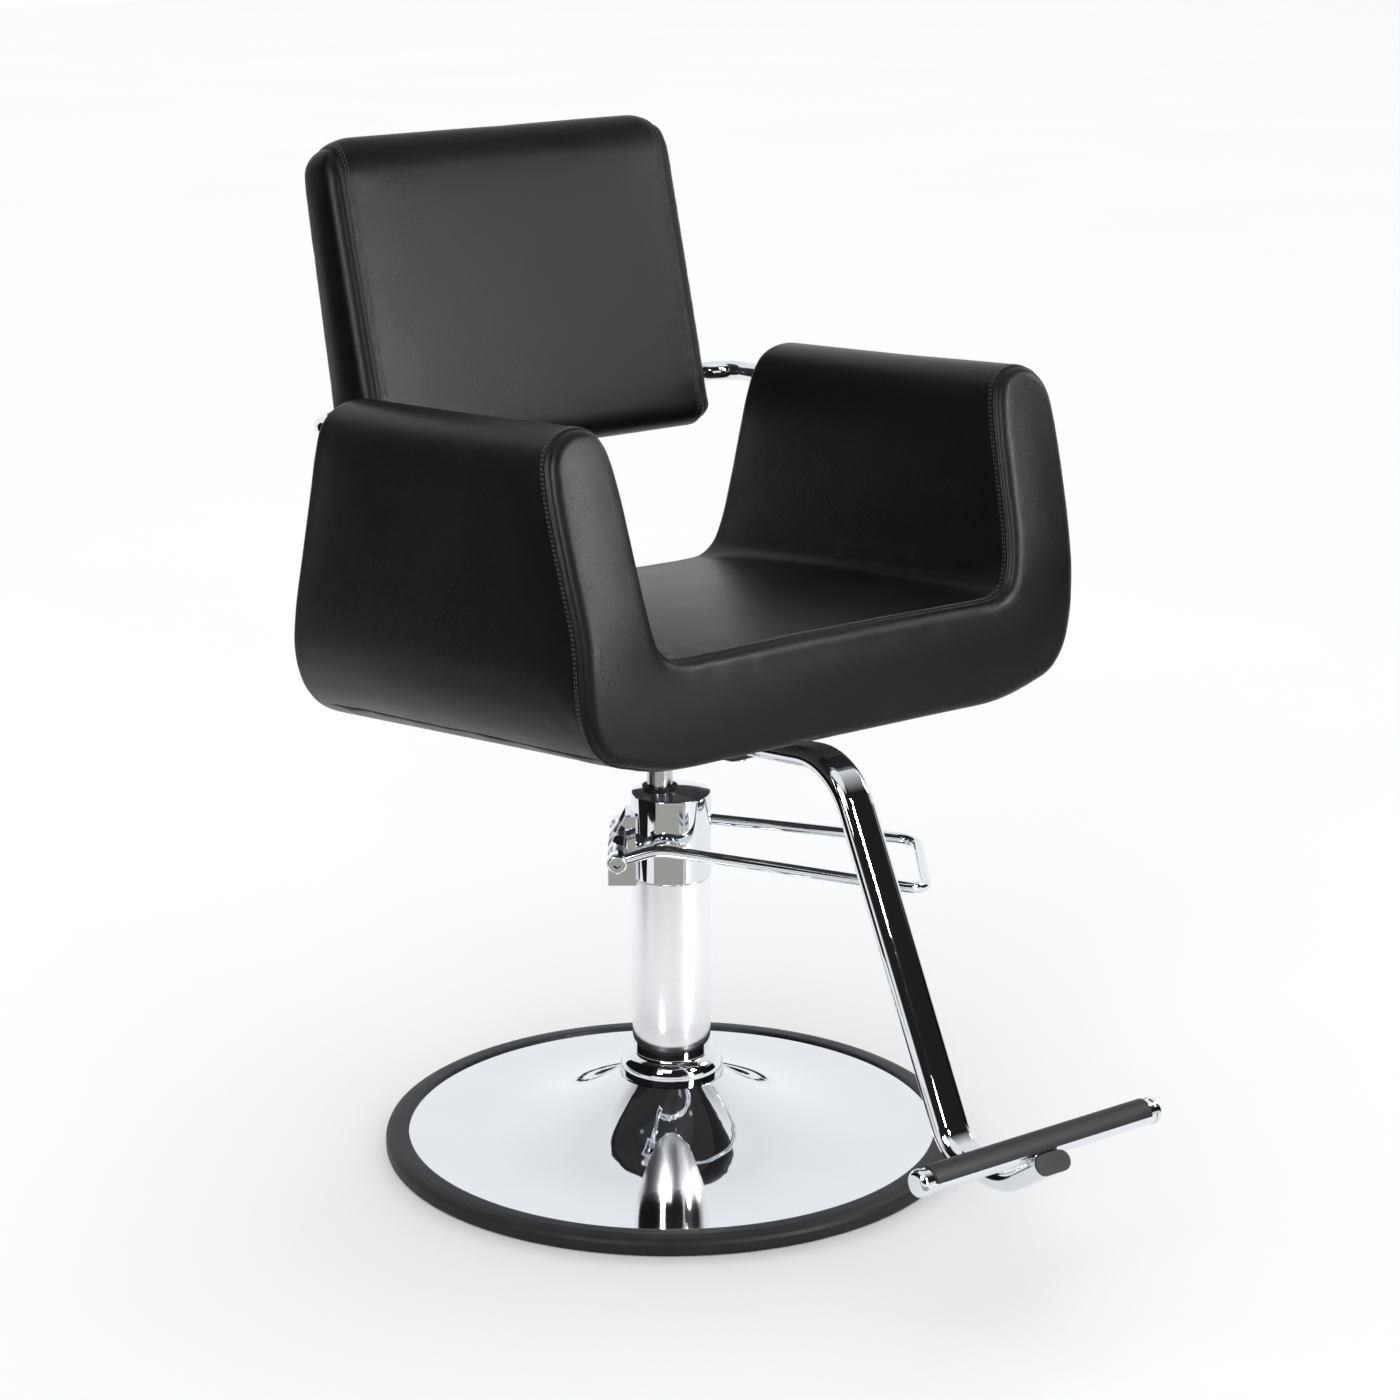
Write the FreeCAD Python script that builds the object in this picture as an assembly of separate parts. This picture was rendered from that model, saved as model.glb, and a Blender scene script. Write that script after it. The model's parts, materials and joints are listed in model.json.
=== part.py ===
import FreeCAD, Part
import os
from math import sin, cos, tan, pi, sqrt, radians, atan2
from FreeCAD import Vector as V

os.makedirs("parts", exist_ok=True)

# ------------------------------------------------------------------ driving dimensions (mm)
# base
RING_R = 300.0          # outer radius of the rubber ring
RING_H = 19.3           # highest point of the ring, at its inner lip
DISC_LIP_R = 276.0      # where the ring's lip starts to cover the disc
DISC_RIM_R = 290.0      # rim of the disc, held in the ring's groove
DISC_RIM_Z = 16.5       # top of the disc at its rim
CROWN_Z = 75.5          # top of the disc's flat crown
CROWN_R = 55.0
DISC_T = 2.5
DISC_POWER = 3.1        # the crown falls away steeply from the column, then flattens
TRIM_R = 54.0           # ring round the foot of the column
TRIM_TOP = 100.0
# pump column
COL_R = 40.65
COL_T = 3.0
COLLAR_R = 41.5
COLLAR_Z0, COLLAR_Z1 = 292.0, 384.0
COLLAR_DOME = 250.0     # radius of the collar's slightly domed top
ROD_R = 13.4
FIT = 0.05              # radial running clearance
ROD = (-11.5, 4.65)     # rod axis in the lever's frame (along the lever, across it)
LEVER_YAW = -36.82      # direction of the lever about the column, degrees
# pump lever
PIVOT_S, PIVOT_Z = -54.0, 325.0
LEG_HALF = 61.0
LEVER_ROD_R = 5.8
LEVER_END_S, LEVER_END_Z = 258.5, 302.5
LEG_END_HALF = 82.0     # the legs spread towards the lever's end
# seat unit
OX = -6.4               # the seat's plane of symmetry
ROD_Y = 10.6            # the swivel axis is at (OX, ROD_Y)
INCLINE = 6.5           # slope of the seat's underside, degrees
UNDER_Y, UNDER_Z = -286.0, 508.0   # front edge of the underside
Y_F, Y_R = -286.0, 247.0
SEAM_X = 205.0          # where the seat cushion meets the arms
SKIN = 3.0              # vinyl and its backing over the foam
# back
BACK_HALF = 217.0
BACK_Z0, BACK_Z1 = 705.0, 1032.0
# footrest
OVAL_W, OVAL_H, OVAL_T = 40.0, 20.0, 1.8
TBAR_Y, TBAR_Z, TBAR_R, TBAR_HALF = -573.0, 185.0, 12.0, 139.0

X0, Y0, Z0 = V(1, 0, 0), V(0, 1, 0), V(0, 0, 1)


# ------------------------------------------------------------------ helpers
def cyl(r, p0, p1):
    a, b = V(*p0), V(*p1)
    return Part.makeCylinder(r, (b - a).Length, a, b - a)


def cone(r0, r1, p0, p1):
    a, b = V(*p0), V(*p1)
    return Part.makeCone(r0, r1, (b - a).Length, a, b - a)


def box(x0, y0, z0, x1, y1, z1):
    return Part.makeBox(x1 - x0, y1 - y0, z1 - z0, V(x0, y0, z0))


def poly_face(pts):
    return Part.Face(Part.makePolygon([V(*p) for p in pts] + [V(*pts[0])]))


def prism(pts, d):
    return poly_face(pts).extrude(V(*d))


def revolve(face):
    return face.revolve(V(0, 0, 0), Z0, 360)


def ring(r_in, r_out, z0, z1, x=0.0, y=0.0):
    s = Part.makeCylinder(r_out, z1 - z0, V(x, y, z0))
    return s.cut(Part.makeCylinder(r_in, z1 - z0 + 2, V(x, y, z0 - 1)))


def fuse(shapes):
    s = shapes[0].fuse(list(shapes[1:]))
    return s.removeSplitter()


def path(points, radii):
    """Straight runs joined by tangent arcs, one radius at each inner point."""
    pts = [V(*p) for p in points]
    edges, start = [], pts[0]
    for i in range(1, len(pts) - 1):
        a, b, c = pts[i - 1], pts[i], pts[i + 1]
        u = (a - b).normalize()
        w = (c - b).normalize()
        turn = pi - u.getAngle(w)
        r = radii[i - 1]
        t = r * tan(turn / 2)
        p, q = b + u * t, b + w * t
        mid_dir = (u + w).normalize()
        mid = b + mid_dir * (r / cos(turn / 2) - r)
        edges.append(Part.LineSegment(start, p).toShape())
        edges.append(Part.Arc(p, mid, q).toShape())
        start = q
    edges.append(Part.LineSegment(start, pts[-1]).toShape())
    return Part.Wire(edges)


def sweep(wire, profile):
    return wire.makePipeShell([profile], True, False)


def round_profile(r, p, d):
    return Part.Wire(Part.Circle(V(*p), V(*d), r).toShape())


def oval_profile(w, h, p, up):
    """A flat-sided oval: width along X, height along up, at p."""
    p, up = V(*p), V(*up).normalize()
    r, s = h / 2.0, w / 2.0 - h / 2.0
    def q(a, b):
        return p + X0 * a + up * b
    e = [Part.LineSegment(q(-s, r), q(s, r)).toShape(),
         Part.Arc(q(s, r), q(s + r, 0), q(s, -r)).toShape(),
         Part.LineSegment(q(s, -r), q(-s, -r)).toShape(),
         Part.Arc(q(-s, -r), q(-s - r, 0), q(-s, r)).toShape()]
    return Part.Wire(e)


def lever_frame(s):
    """From the lever's frame (x along the lever, y across it) to the chair's."""
    s = s.copy()
    s.rotate(V(0, 0, 0), Z0, LEVER_YAW)
    return s


def incline(s):
    """From the underside's frame (y back along the slope, z normal) to the chair's."""
    s = s.copy()
    s.rotate(V(0, 0, 0), X0, -INCLINE)
    s.translate(V(OX, UNDER_Y, UNDER_Z))
    return s


def mirror_x(s):
    return s.mirror(V(OX, 0, 0), X0)


def hex_prism(af, p0, p1):
    """A hexagonal prism across flats af from p0 to p1."""
    a, b = V(*p0), V(*p1)
    d = (b - a)
    n = V(d).normalize()
    u = n.cross(X0 if abs(n.x) < 0.9 else Y0).normalize()
    w = n.cross(u)
    r = af / sqrt(3.0)
    pts = [a + u * (r * cos(k * pi / 3)) + w * (r * sin(k * pi / 3)) for k in range(7)]
    return Part.Face(Part.makePolygon(pts)).extrude(d)


def inset(s, t):
    """A smaller copy of a convex solid, about t inside it on every side."""
    pts, _ = s.tessellate(0.5)
    lo = [min(p[i] for p in pts) for i in range(3)]
    hi = [max(p[i] for p in pts) for i in range(3)]
    c = [(a + b) / 2 for a, b in zip(lo, hi)]
    k = [(b - a - 2 * t) / (b - a) for a, b in zip(lo, hi)]
    m = FreeCAD.Matrix()
    m.move(V(-c[0], -c[1], -c[2]))
    m.scale(k[0], k[1], k[2])
    m.move(V(*c))
    return s.transformGeometry(m)


PARTS = {}


def keep(name, shape):
    solids = shape.Solids
    out = solids[0] if len(solids) == 1 else Part.makeCompound(solids)
    PARTS[name] = out


# ------------------------------------------------------------------ base
def disc_z(r):
    if r <= CROWN_R:
        return CROWN_Z
    if r >= 280.0:
        return DISC_RIM_Z
    return DISC_RIM_Z + (CROWN_Z - DISC_RIM_Z) * ((280.0 - r) / (280.0 - CROWN_R)) ** DISC_POWER


rs = [55, 59, 64, 70, 77, 85, 94, 104, 116, 130, 146, 165, 188, 215, 245, 280]
top = Part.BSplineCurve()
top.interpolate([V(r, 0, disc_z(r)) for r in rs])
low = Part.BSplineCurve()
low.interpolate([V(r, 0, disc_z(r) - DISC_T) for r in rs])
e = [Part.LineSegment(V(0, 0, CROWN_Z), V(55, 0, CROWN_Z)).toShape(), top.toShape(),
     Part.LineSegment(V(280, 0, DISC_RIM_Z), V(DISC_RIM_R, 0, DISC_RIM_Z)).toShape(),
     Part.LineSegment(V(DISC_RIM_R, 0, DISC_RIM_Z), V(DISC_RIM_R, 0, DISC_RIM_Z - DISC_T)).toShape(),
     Part.LineSegment(V(DISC_RIM_R, 0, DISC_RIM_Z - DISC_T), V(280, 0, DISC_RIM_Z - DISC_T)).toShape(),
     low.toShape(),
     Part.LineSegment(V(55, 0, CROWN_Z - DISC_T), V(0, 0, CROWN_Z - DISC_T)).toShape(),
     Part.LineSegment(V(0, 0, CROWN_Z - DISC_T), V(0, 0, CROWN_Z)).toShape()]
disc = revolve(Part.Face(Part.Wire(Part.__sortEdges__(e))))

ring_pts = [(262, 0), (296.5, 0), (299.2, 1.2), (300, 4), (300, 11.5), (298.6, 15), (295, 17.2), (288, 18.8),
            (279, RING_H), (DISC_LIP_R, RING_H - 0.6), (DISC_LIP_R, DISC_RIM_Z - 1), (262, DISC_RIM_Z - 1)]
rubber = revolve(poly_face([(r, 0, z) for r, z in ring_pts])).cut(disc)
# the slice of rubber left above the disc inside the lip is taken away
rubber = max(rubber.Solids, key=lambda s: s.Volume)
keep("base_rubber_ring", rubber)

bolt_xy = [(25 * cos(radians(45 + 90 * k)), 25 * sin(radians(45 + 90 * k))) for k in range(4)]
bolts = []
for bx, by in bolt_xy:
    b = fuse([cyl(5, (bx, by, 64), (bx, by, 96)), cyl(8, (bx, by, 56), (bx, by, 64))])
    bolts.append(b.cut(hex_prism(8, (bx, by, 56), (bx, by, 60.5))))
base_bolts = Part.makeCompound(bolts)
keep("base_bolts", base_bolts)
disc = disc.cut(base_bolts)
keep("base_disc", disc)
stiff = Part.makeCylinder(53, CROWN_Z - DISC_T - 64, V(0, 0, 64)).cut(base_bolts)
keep("base_stiffener", stiff)

rx, ry = ROD
rod_w = (OX, ROD_Y)
foot = fuse([Part.makeCylinder(48, 8, V(0, 0, CROWN_Z)), Part.makeCylinder(COL_R - COL_T, 16.5, V(0, 0, CROWN_Z + 8))])
foot = foot.cut(base_bolts).cut(Part.makeCylinder(4.3, 9, V(rod_w[0], rod_w[1], TRIM_TOP - 8.5)))
keep("pump_foot", foot)
keep("check_valve_ball", Part.makeSphere(4.2, V(rod_w[0], rod_w[1], TRIM_TOP - 4.2)))

# the ring's outside is one rounded shoulder, a quarter of an ellipse
SHOULDER_Z = 82.5
shoulder = Part.BSplineCurve()
shoulder.interpolate([V(COL_R + (TRIM_R - COL_R) * cos(radians(t)), 0, SHOULDER_Z + (TRIM_TOP - SHOULDER_Z) * sin(radians(t)))
                      for t in range(0, 91, 9)])
tr = [(COL_R, TRIM_TOP), (COL_R, TRIM_TOP - 9), (48.2, TRIM_TOP - 9), (48.2, CROWN_Z), (TRIM_R - 1.5, CROWN_Z),
      (TRIM_R, CROWN_Z + 1.5), (TRIM_R, SHOULDER_Z)]
trim_edges = [Part.LineSegment(V(p[0], 0, p[1]), V(q[0], 0, q[1])).toShape() for p, q in zip(tr, tr[1:])]
keep("trim_ring", revolve(Part.Face(Part.Wire(trim_edges + [shoulder.toShape()]))))
keep("column_tube", ring(COL_R - COL_T, COL_R, CROWN_Z + 8, COLLAR_Z0))
LINER_IN, LINER_OUT = 14.6, 17.0
keep("pump_liner", ring(LINER_IN, LINER_OUT, TRIM_TOP, COLLAR_Z0, *rod_w))

# collar, in the lever's frame
collar = Part.makeCylinder(COLLAR_R, COLLAR_Z1 + 1.2 - COLLAR_Z0, V(0, 0, COLLAR_Z0))
collar = collar.common(Part.makeSphere(COLLAR_DOME, V(0, 0, COLLAR_Z1 + 1.2 - COLLAR_DOME)))
rims = [ed for ed in collar.Edges
        if not ed.Degenerated and isinstance(ed.Curve, Part.Circle) and abs(ed.Curve.Radius - COLLAR_R) < 0.01]
collar = collar.makeFillet(1.8, rims)
bush_h = (COLLAR_Z0 + 8, COLLAR_Z1 - 8)
collar = collar.cut(Part.makeCylinder(ROD_R + 0.4, 200, V(rx, ry, 250)))
collar = collar.cut(Part.makeCylinder(15.2, bush_h[1] - COLLAR_Z0 - 8 + 0, V(rx, ry, bush_h[0])))
collar = collar.cut(Part.makeCylinder(17.0, 20, V(rx, ry, bush_h[1])))
PL_S = -33.2
window = box(-60, -9.5, 302, -28.4, 9.5, 346)
collar = collar.cut(window).cut(Part.makeCylinder(2.5 + FIT, 20, V(PL_S, 0, 285)))
bush = ring(ROD_R + FIT, 15.2, bush_h[0], bush_h[1], rx, ry)
seal = ring(ROD_R + FIT, 17.0, bush_h[1], COLLAR_Z1, rx, ry)
seal = seal.fuse(ring(ROD_R + FIT, 18.2, COLLAR_Z1 - 4, COLLAR_Z1 + 3.0, rx, ry)).cut(collar).removeSplitter()
keep("pump_collar", lever_frame(collar))
keep("rod_guide_bush", lever_frame(bush))
keep("wiper_seal", lever_frame(seal))
keep("plunger_barrel", lever_frame(ring(2.5 + FIT, 3.8, 262, COLLAR_Z0, PL_S, 0)))
plunger = fuse([Part.makeCylinder(2.5, 315.2 - 268, V(PL_S, 0, 268)), Part.makeCylinder(4.2, 3, V(PL_S, 0, 312.2))])
keep("pump_plunger", lever_frame(plunger))

# bracket: two ears joined by a web on the outside
EAR0, EAR1 = 16.0, 20.5
ear_pts = [(-62.0, 286), (-62.0, 331), (-47.0, 360), (-30.0, 360), (-30.0, 286)]
ears = [prism([(s, y, z) for s, z in ear_pts], (0, EAR1 - EAR0, 0)) for y in (EAR0, -EAR1)]
web = prism([(-62.0, -EAR1, 286), (-62.0, -EAR1, 308), (-64.5, -EAR1, 308), (-64.5, -EAR1, 286)], (0, 2 * EAR1, 0))
toppl = prism([(-47.0, -EAR1, 357), (-30.0, -EAR1, 357), (-30.0, -EAR1, 360), (-47.0, -EAR1, 360)], (0, 2 * EAR1, 0))
bracket = fuse(ears + [web, toppl]).cut(Part.makeCylinder(COLLAR_R, 300, V(0, 0, 200)))
SH_R = 7.0
BUSH_R = 9.2
bracket = bracket.cut(cyl(BUSH_R, (PIVOT_S, -40, PIVOT_Z), (PIVOT_S, 40, PIVOT_Z)))
keep("lever_bracket", lever_frame(bracket))
pb = []
for sg in (1, -1):
    b = fuse([cyl(BUSH_R, (PIVOT_S, sg * 13.0, PIVOT_Z), (PIVOT_S, sg * EAR1, PIVOT_Z)),
              cyl(10.4, (PIVOT_S, sg * EAR1, PIVOT_Z), (PIVOT_S, sg * 36.0, PIVOT_Z))])
    pb.append(b.cut(cyl(SH_R + FIT, (PIVOT_S, sg * 10, PIVOT_Z), (PIVOT_S, sg * 40, PIVOT_Z))))
keep("pivot_bushes", lever_frame(Part.makeCompound(pb)))

# lever
kz = 338.0
p0, k0 = (PIVOT_S, -LEG_HALF, PIVOT_Z), (-13.0, -LEG_HALF, kz)
c0, c1 = (LEVER_END_S, -LEG_END_HALF, LEVER_END_Z), (LEVER_END_S, LEG_END_HALF, LEVER_END_Z)
k1, p1 = (-13.0, LEG_HALF, kz), (PIVOT_S, LEG_HALF, PIVOT_Z)
wire = path([p0, k0, c0, c1, k1, p1], [60, 20, 20, 60])
rod_u = sweep(wire, round_profile(LEVER_ROD_R, p0, (k0[0] - p0[0], 0, k0[2] - p0[2])))
eyes = [cyl(10.5, (PIVOT_S, sg * 54.5, PIVOT_Z), (PIVOT_S, sg * 67.5, PIVOT_Z)) for sg in (1, -1)]
lever = fuse([rod_u] + eyes).cut(cyl(SH_R, (PIVOT_S, -60, PIVOT_Z), (PIVOT_S, 60, PIVOT_Z)))
lever = lever.cut(cyl(4.0, (PIVOT_S, -80, PIVOT_Z), (PIVOT_S, 80, PIVOT_Z)))
keep("pump_lever", lever_frame(lever))
shaft = cyl(SH_R, (PIVOT_S, -60, PIVOT_Z), (PIVOT_S, 60, PIVOT_Z))
screws = []
for sg in (1, -1):
    s = fuse([cyl(4.0, (PIVOT_S, sg * 46, PIVOT_Z), (PIVOT_S, sg * 67.5, PIVOT_Z)),
              cyl(10.0, (PIVOT_S, sg * 67.5, PIVOT_Z), (PIVOT_S, sg * 72.0, PIVOT_Z))])
    head = [ed for ed in s.Edges if isinstance(ed.Curve, Part.Circle) and abs(abs(ed.CenterOfMass.y) - 72) < 0.1]
    s = s.makeFillet(2.2, head)
    screws.append(s.cut(hex_prism(7, (PIVOT_S, sg * 68.5, PIVOT_Z), (PIVOT_S, sg * 73, PIVOT_Z))))
screws = Part.makeCompound(screws)
keep("pivot_screws", lever_frame(screws))
keep("pivot_shaft", lever_frame(shaft.cut(screws)))
finger = fuse([cyl(10.8, (PIVOT_S, -6, PIVOT_Z), (PIVOT_S, 6, PIVOT_Z)),
               prism([(PIVOT_S, -6, PIVOT_Z + 9), (-36, -6, 324.5), (PL_S + 1.6, -6, 323.2), (PL_S + 3.2, -6, 320),
                      (PL_S + 1.6, -6, 317), (PL_S, -6, 316.2), (PL_S - 2.5, -6, 316.2), (PIVOT_S + 4, -6, PIVOT_Z - 9.6)], (0, 12, 0))])
finger = finger.cut(cyl(SH_R, (PIVOT_S, -20, PIVOT_Z), (PIVOT_S, 20, PIVOT_Z)))
keep("cam_finger", lever_frame(finger))
# torsion spring between the finger and the ear on the near side
hel = Part.makeHelix(1.75, 4.4, 9.0)
prof = Part.Wire(Part.Circle(V(9.0, 0, 0), Y0, 0.75).toShape())
coil = Part.Wire(hel.Edges).makePipeShell([prof], True, True)
coil.rotate(V(0, 0, 0), X0, 90)
coil.translate(V(PIVOT_S, -7.3, PIVOT_Z))
keep("lever_return_spring", lever_frame(coil))

# ------------------------------------------------------------------ piston and rod
RWX, RWY = rod_w
PIST_Z = 176.0
head = Part.makeCylinder(LINER_IN - FIT, 14, V(RWX, RWY, PIST_Z))
groove = ring(LINER_IN - 2.2, LINER_IN + 2, PIST_Z + 4, PIST_Z + 9, RWX, RWY)
keep("piston_head", head.cut(groove))
keep("piston_seal", ring(LINER_IN - 2.2, LINER_IN - FIT, PIST_Z + 4, PIST_Z + 9, RWX, RWY))
keep("thrust_washer", Part.makeCylinder(12.5, 3, V(RWX, RWY, PIST_Z + 14)))
ROD_Z0, ROD_Z1 = PIST_Z + 17.05, 462.0
rod = Part.makeCylinder(ROD_R, ROD_Z1 - ROD_Z0, V(RWX, RWY, ROD_Z0))
rod = rod.makeFillet(1.5, [ed for ed in rod.Edges if isinstance(ed.Curve, Part.Circle) and ed.CenterOfMass.z > ROD_Z1 - 1])
keep("piston_rod", rod)

# ------------------------------------------------------------------ seat carrier
yl = (ROD_Y - UNDER_Y) / cos(radians(INCLINE))   # swivel axis along the slope
plate = incline(box(-92, yl - 160, -7.5, 92, yl + 105, -2.5))
hub = cone(21.0, 25.0, (RWX, RWY, 434), (RWX, RWY, 478))
above = incline(box(-150, yl - 200, -7.5, 150, yl + 200, 80))
hub = hub.cut(above).cut(rod)
keep("seat_hub", hub)
pb = []
for bx in (-75, 75):
    for by in (yl - 110, yl + 88):
        pb.append(incline(fuse([cyl(4, (bx, by, -7.5), (bx, by, 12)), cyl(7.5, (bx, by, -12.5), (bx, by, -7.5))])
                          .cut(hex_prism(6, (bx, by, -12.5), (bx, by, -9.5)))))
plate_bolts = Part.makeCompound(pb)
keep("seat_plate_bolts", plate_bolts)
keep("seat_plate", plate.cut(plate_bolts).cut(rod))
cover = incline(box(-188, 26, -2.5, 188, 512, 0)).cut(plate_bolts)
keep("bottom_cover", cover)
board = incline(box(-201, 22, 0, 201, 505, 15)).cut(plate_bolts)

# ------------------------------------------------------------------ footrest
AX_DROP = 24.0                       # tube axis below the underside
tl = tan(radians(INCLINE))
def axis_a(y):
    return UNDER_Z - AX_DROP / cos(radians(INCLINE)) - (y - UNDER_Y) * tl
pa = (0, -48.0, axis_a(-48.0))
yk = -285.1
foot_pts = [pa, (0, yk, axis_a(yk)), (0, -463.8, 140.0), (0, -543.9, 140.0), (0, -592.5, 140.0 + 48.6 * 0.7137)]
foot_pts = [(OX, p[1], p[2]) for p in foot_pts]
foot_wire = path(foot_pts, [70, 45, 62])
up0 = (0, sin(radians(INCLINE)), cos(radians(INCLINE)))
outer = sweep(foot_wire, oval_profile(OVAL_W, OVAL_H, foot_pts[0], up0))
inner = sweep(foot_wire, oval_profile(OVAL_W - 2 * OVAL_T, OVAL_H - 2 * OVAL_T, foot_pts[0], up0))
tube = outer.cut(inner)
bar_cyl = cyl(TBAR_R, (OX - TBAR_HALF, TBAR_Y, TBAR_Z), (OX + TBAR_HALF, TBAR_Y, TBAR_Z))
tube = max(tube.cut(bar_cyl).Solids, key=lambda s: s.Volume)
keep("footrest_tube", tube)
d = V(0, foot_pts[4][1] - foot_pts[3][1], foot_pts[4][2] - foot_pts[3][2]).normalize()
upe = V(0, -d.z, d.y) if d.y > 0 else V(0, d.z, -d.y)
pe = V(*foot_pts[4])
lip = Part.Face(oval_profile(OVAL_W, OVAL_H, tuple(pe), tuple(upe))).extrude(d * 2.5)
core = Part.Face(oval_profile(OVAL_W - 2 * OVAL_T, OVAL_H - 2 * OVAL_T, tuple(pe - d * 5), tuple(upe))).extrude(d * 5)
plug = fuse([lip, core]).cut(bar_cyl)

sock = box(-27, yl - 155, -38, 27, yl - 42, -7.5)
sock_pts = [(0, yl - 170, -AX_DROP), (0, yl - 20, -AX_DROP)]
bore = Part.Face(oval_profile(OVAL_W, OVAL_H, sock_pts[0], (0, 0, 1))).extrude(V(0, 150, 0))
sock = sock.cut(bore)
ss = []
for by in (yl - 130, yl - 70):
    ss.append(fuse([cyl(4, (0, by, -38), (0, by, -34)), cyl(7, (0, by, -44), (0, by, -38))]).cut(hex_prism(6, (0, by, -44), (0, by, -40))))
ss = Part.makeCompound(ss)
sock = sock.cut(Part.makeCompound([cyl(4, (0, by, -39), (0, by, -33)) for by in (yl - 130, yl - 70)]))
keep("footrest_socket", incline(sock))
keep("footrest_socket_screws", incline(ss))

bar = bar_cyl.cut(cyl(TBAR_R - 1.5, (OX - 200, TBAR_Y, TBAR_Z), (OX + 200, TBAR_Y, TBAR_Z)))
caps = []
for sg in (1, -1):
    x_end = OX + sg * TBAR_HALF
    dome = Part.makeCylinder(13.0, 8.0, V(x_end, TBAR_Y, TBAR_Z), V(sg, 0, 0))
    edge = [ed for ed in dome.Edges if isinstance(ed.Curve, Part.Circle) and abs(ed.CenterOfMass.x - (x_end + sg * 8)) < 0.1]
    dome = dome.makeFillet(5.5, edge)
    stub = Part.makeCylinder(TBAR_R - 1.5, 12.0, V(x_end - sg * 12, TBAR_Y, TBAR_Z), V(sg, 0, 0))
    caps.append(fuse([dome, stub]))
keep("t_bar_end_caps", Part.makeCompound(caps))
# tread: a rubber strip round the front and top of the bar
a0, a1 = radians(5), radians(114)
n = 16
outer_pts = [(TBAR_Y - (TBAR_R + 2.0) * cos(a0 + (a1 - a0) * i / n), TBAR_Z + (TBAR_R + 2.0) * sin(a0 + (a1 - a0) * i / n)) for i in range(n + 1)]
inner_pts = [(TBAR_Y - (TBAR_R - 0.6) * cos(a0 + (a1 - a0) * i / n), TBAR_Z + (TBAR_R - 0.6) * sin(a0 + (a1 - a0) * i / n)) for i in range(n, -1, -1)]
tread = prism([(OX - 131, y, z) for y, z in outer_pts + inner_pts], (262, 0, 0))
tread = max(tread.cut(bar_cyl).Solids, key=lambda s: s.Volume)
keep("t_bar_tread", tread)
plug = plug.cut(tread)
keep("footrest_end_plug", max(plug.Solids, key=lambda s: s.Volume))
keep("t_bar", bar)

# ------------------------------------------------------------------ upholstery: seat and arms
FRONT = [(205, 508), (212, 511), (243, 521), (259, 531), (271, 548), (280, 562), (288, 600), (293, 640), (298, 701),
         (299.5, 753), (299, 778), (295, 807), (287, 817), (275, 826), (261, 831), (247, 828), (239, 818), (231, 802),
         (227, 775), (222, 722), (218, 660), (213, 638), (205, 612)]
REAR = [(205, 447.3), (212, 447.6), (235, 448.5), (261, 466), (275, 485), (290, 513), (296, 532), (299, 552), (302, 632),
        (303, 700), (303, 740), (300, 768), (292, 779), (280, 785), (264, 787.5), (248, 785), (239, 777), (232, 766),
        (228.5, 745), (228, 700), (228, 640), (224, 585), (205, 556)]
SEAT_F = [(-205, 508), (205, 508), (205, 612), (120, 613), (0, 613.5), (-120, 613), (-205, 612)]
SEAT_R = [(-205, 447.3), (205, 447.3), (205, 556), (120, 556), (0, 556), (-120, 556), (-205, 556)]
YA, YB = -300.0, 262.0


def lofted(fr, re, sign=1):
    def at(y):
        t = (y - Y_F) / (Y_R - Y_F)
        pts = [V(OX + sign * (a[0] + (b[0] - a[0]) * t), y, a[1] + (b[1] - a[1]) * t) for a, b in zip(fr, re)]
        return Part.makePolygon(pts + [pts[0]])
    s = Part.makeLoft([at(YA), at(YB)], True, True)
    if s.Volume < 0:
        s.reverse()
    return s


# side profile shared by the seat and arms: front face, raked above the seat, and raked rear face
side = [(-279, 440), (-285, 470), (-286, 500), (-286, 640), (-228, 838), (137.7, 838), (252, 430), (-275, 430)]
clip = prism([(-400, y, z) for y, z in side], (800, 0, 0))
seat = lofted(SEAT_F, SEAT_R).common(clip)
arm_r = lofted(FRONT, REAR).common(clip)

arm_b = [(-262, 578), (-262, 640), (-214, 800), (112, 775), (112, 735), (122, 690), (190, 560), (196, 520)]
arm_board_r = prism([(OX + 255, y, z) for y, z in arm_b], (18, 0, 0))
# L brackets between the seat board and the arm boards
yb0, yb1 = yl - 70, yl + 60
br = incline(prism([(150, yb0, 15), (255, yb0, 15), (255, yb0, 118), (251, yb0, 118), (251, yb0, 19), (150, yb0, 19)], (0, yb1 - yb0, 0)))
sc = []
for by in (yb0 + 20, yb1 - 20):
    sc.append(incline(fuse([cyl(3, (175, by, 5), (175, by, 19)), cyl(5.5, (175, by, 19), (175, by, 22))])))
    sc.append(incline(fuse([cyl(3, (251, by, 98), (266, by, 98)), cyl(5.5, (248, by, 98), (251, by, 98))])))
sc_r = Part.makeCompound(sc)
sc_all = Part.makeCompound([sc_r, mirror_x(sc_r)])
brackets = Part.makeCompound([br, mirror_x(br)]).cut(sc_all)
keep("arm_bracket_screws", sc_all)
keep("arm_brackets", brackets)
arm_board_r = arm_board_r.cut(br).cut(sc_r)
keep("arm_board_right", arm_board_r)
keep("arm_board_left", mirror_x(arm_board_r))
board = board.cut(sc_all)
keep("seat_board", board)

# ------------------------------------------------------------------ back
def back_front(z):
    return 212.0 + (z - 773.0) * 0.275
def back_rear(z):
    return 287.0 + (z - 773.0) * 0.2

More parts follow.
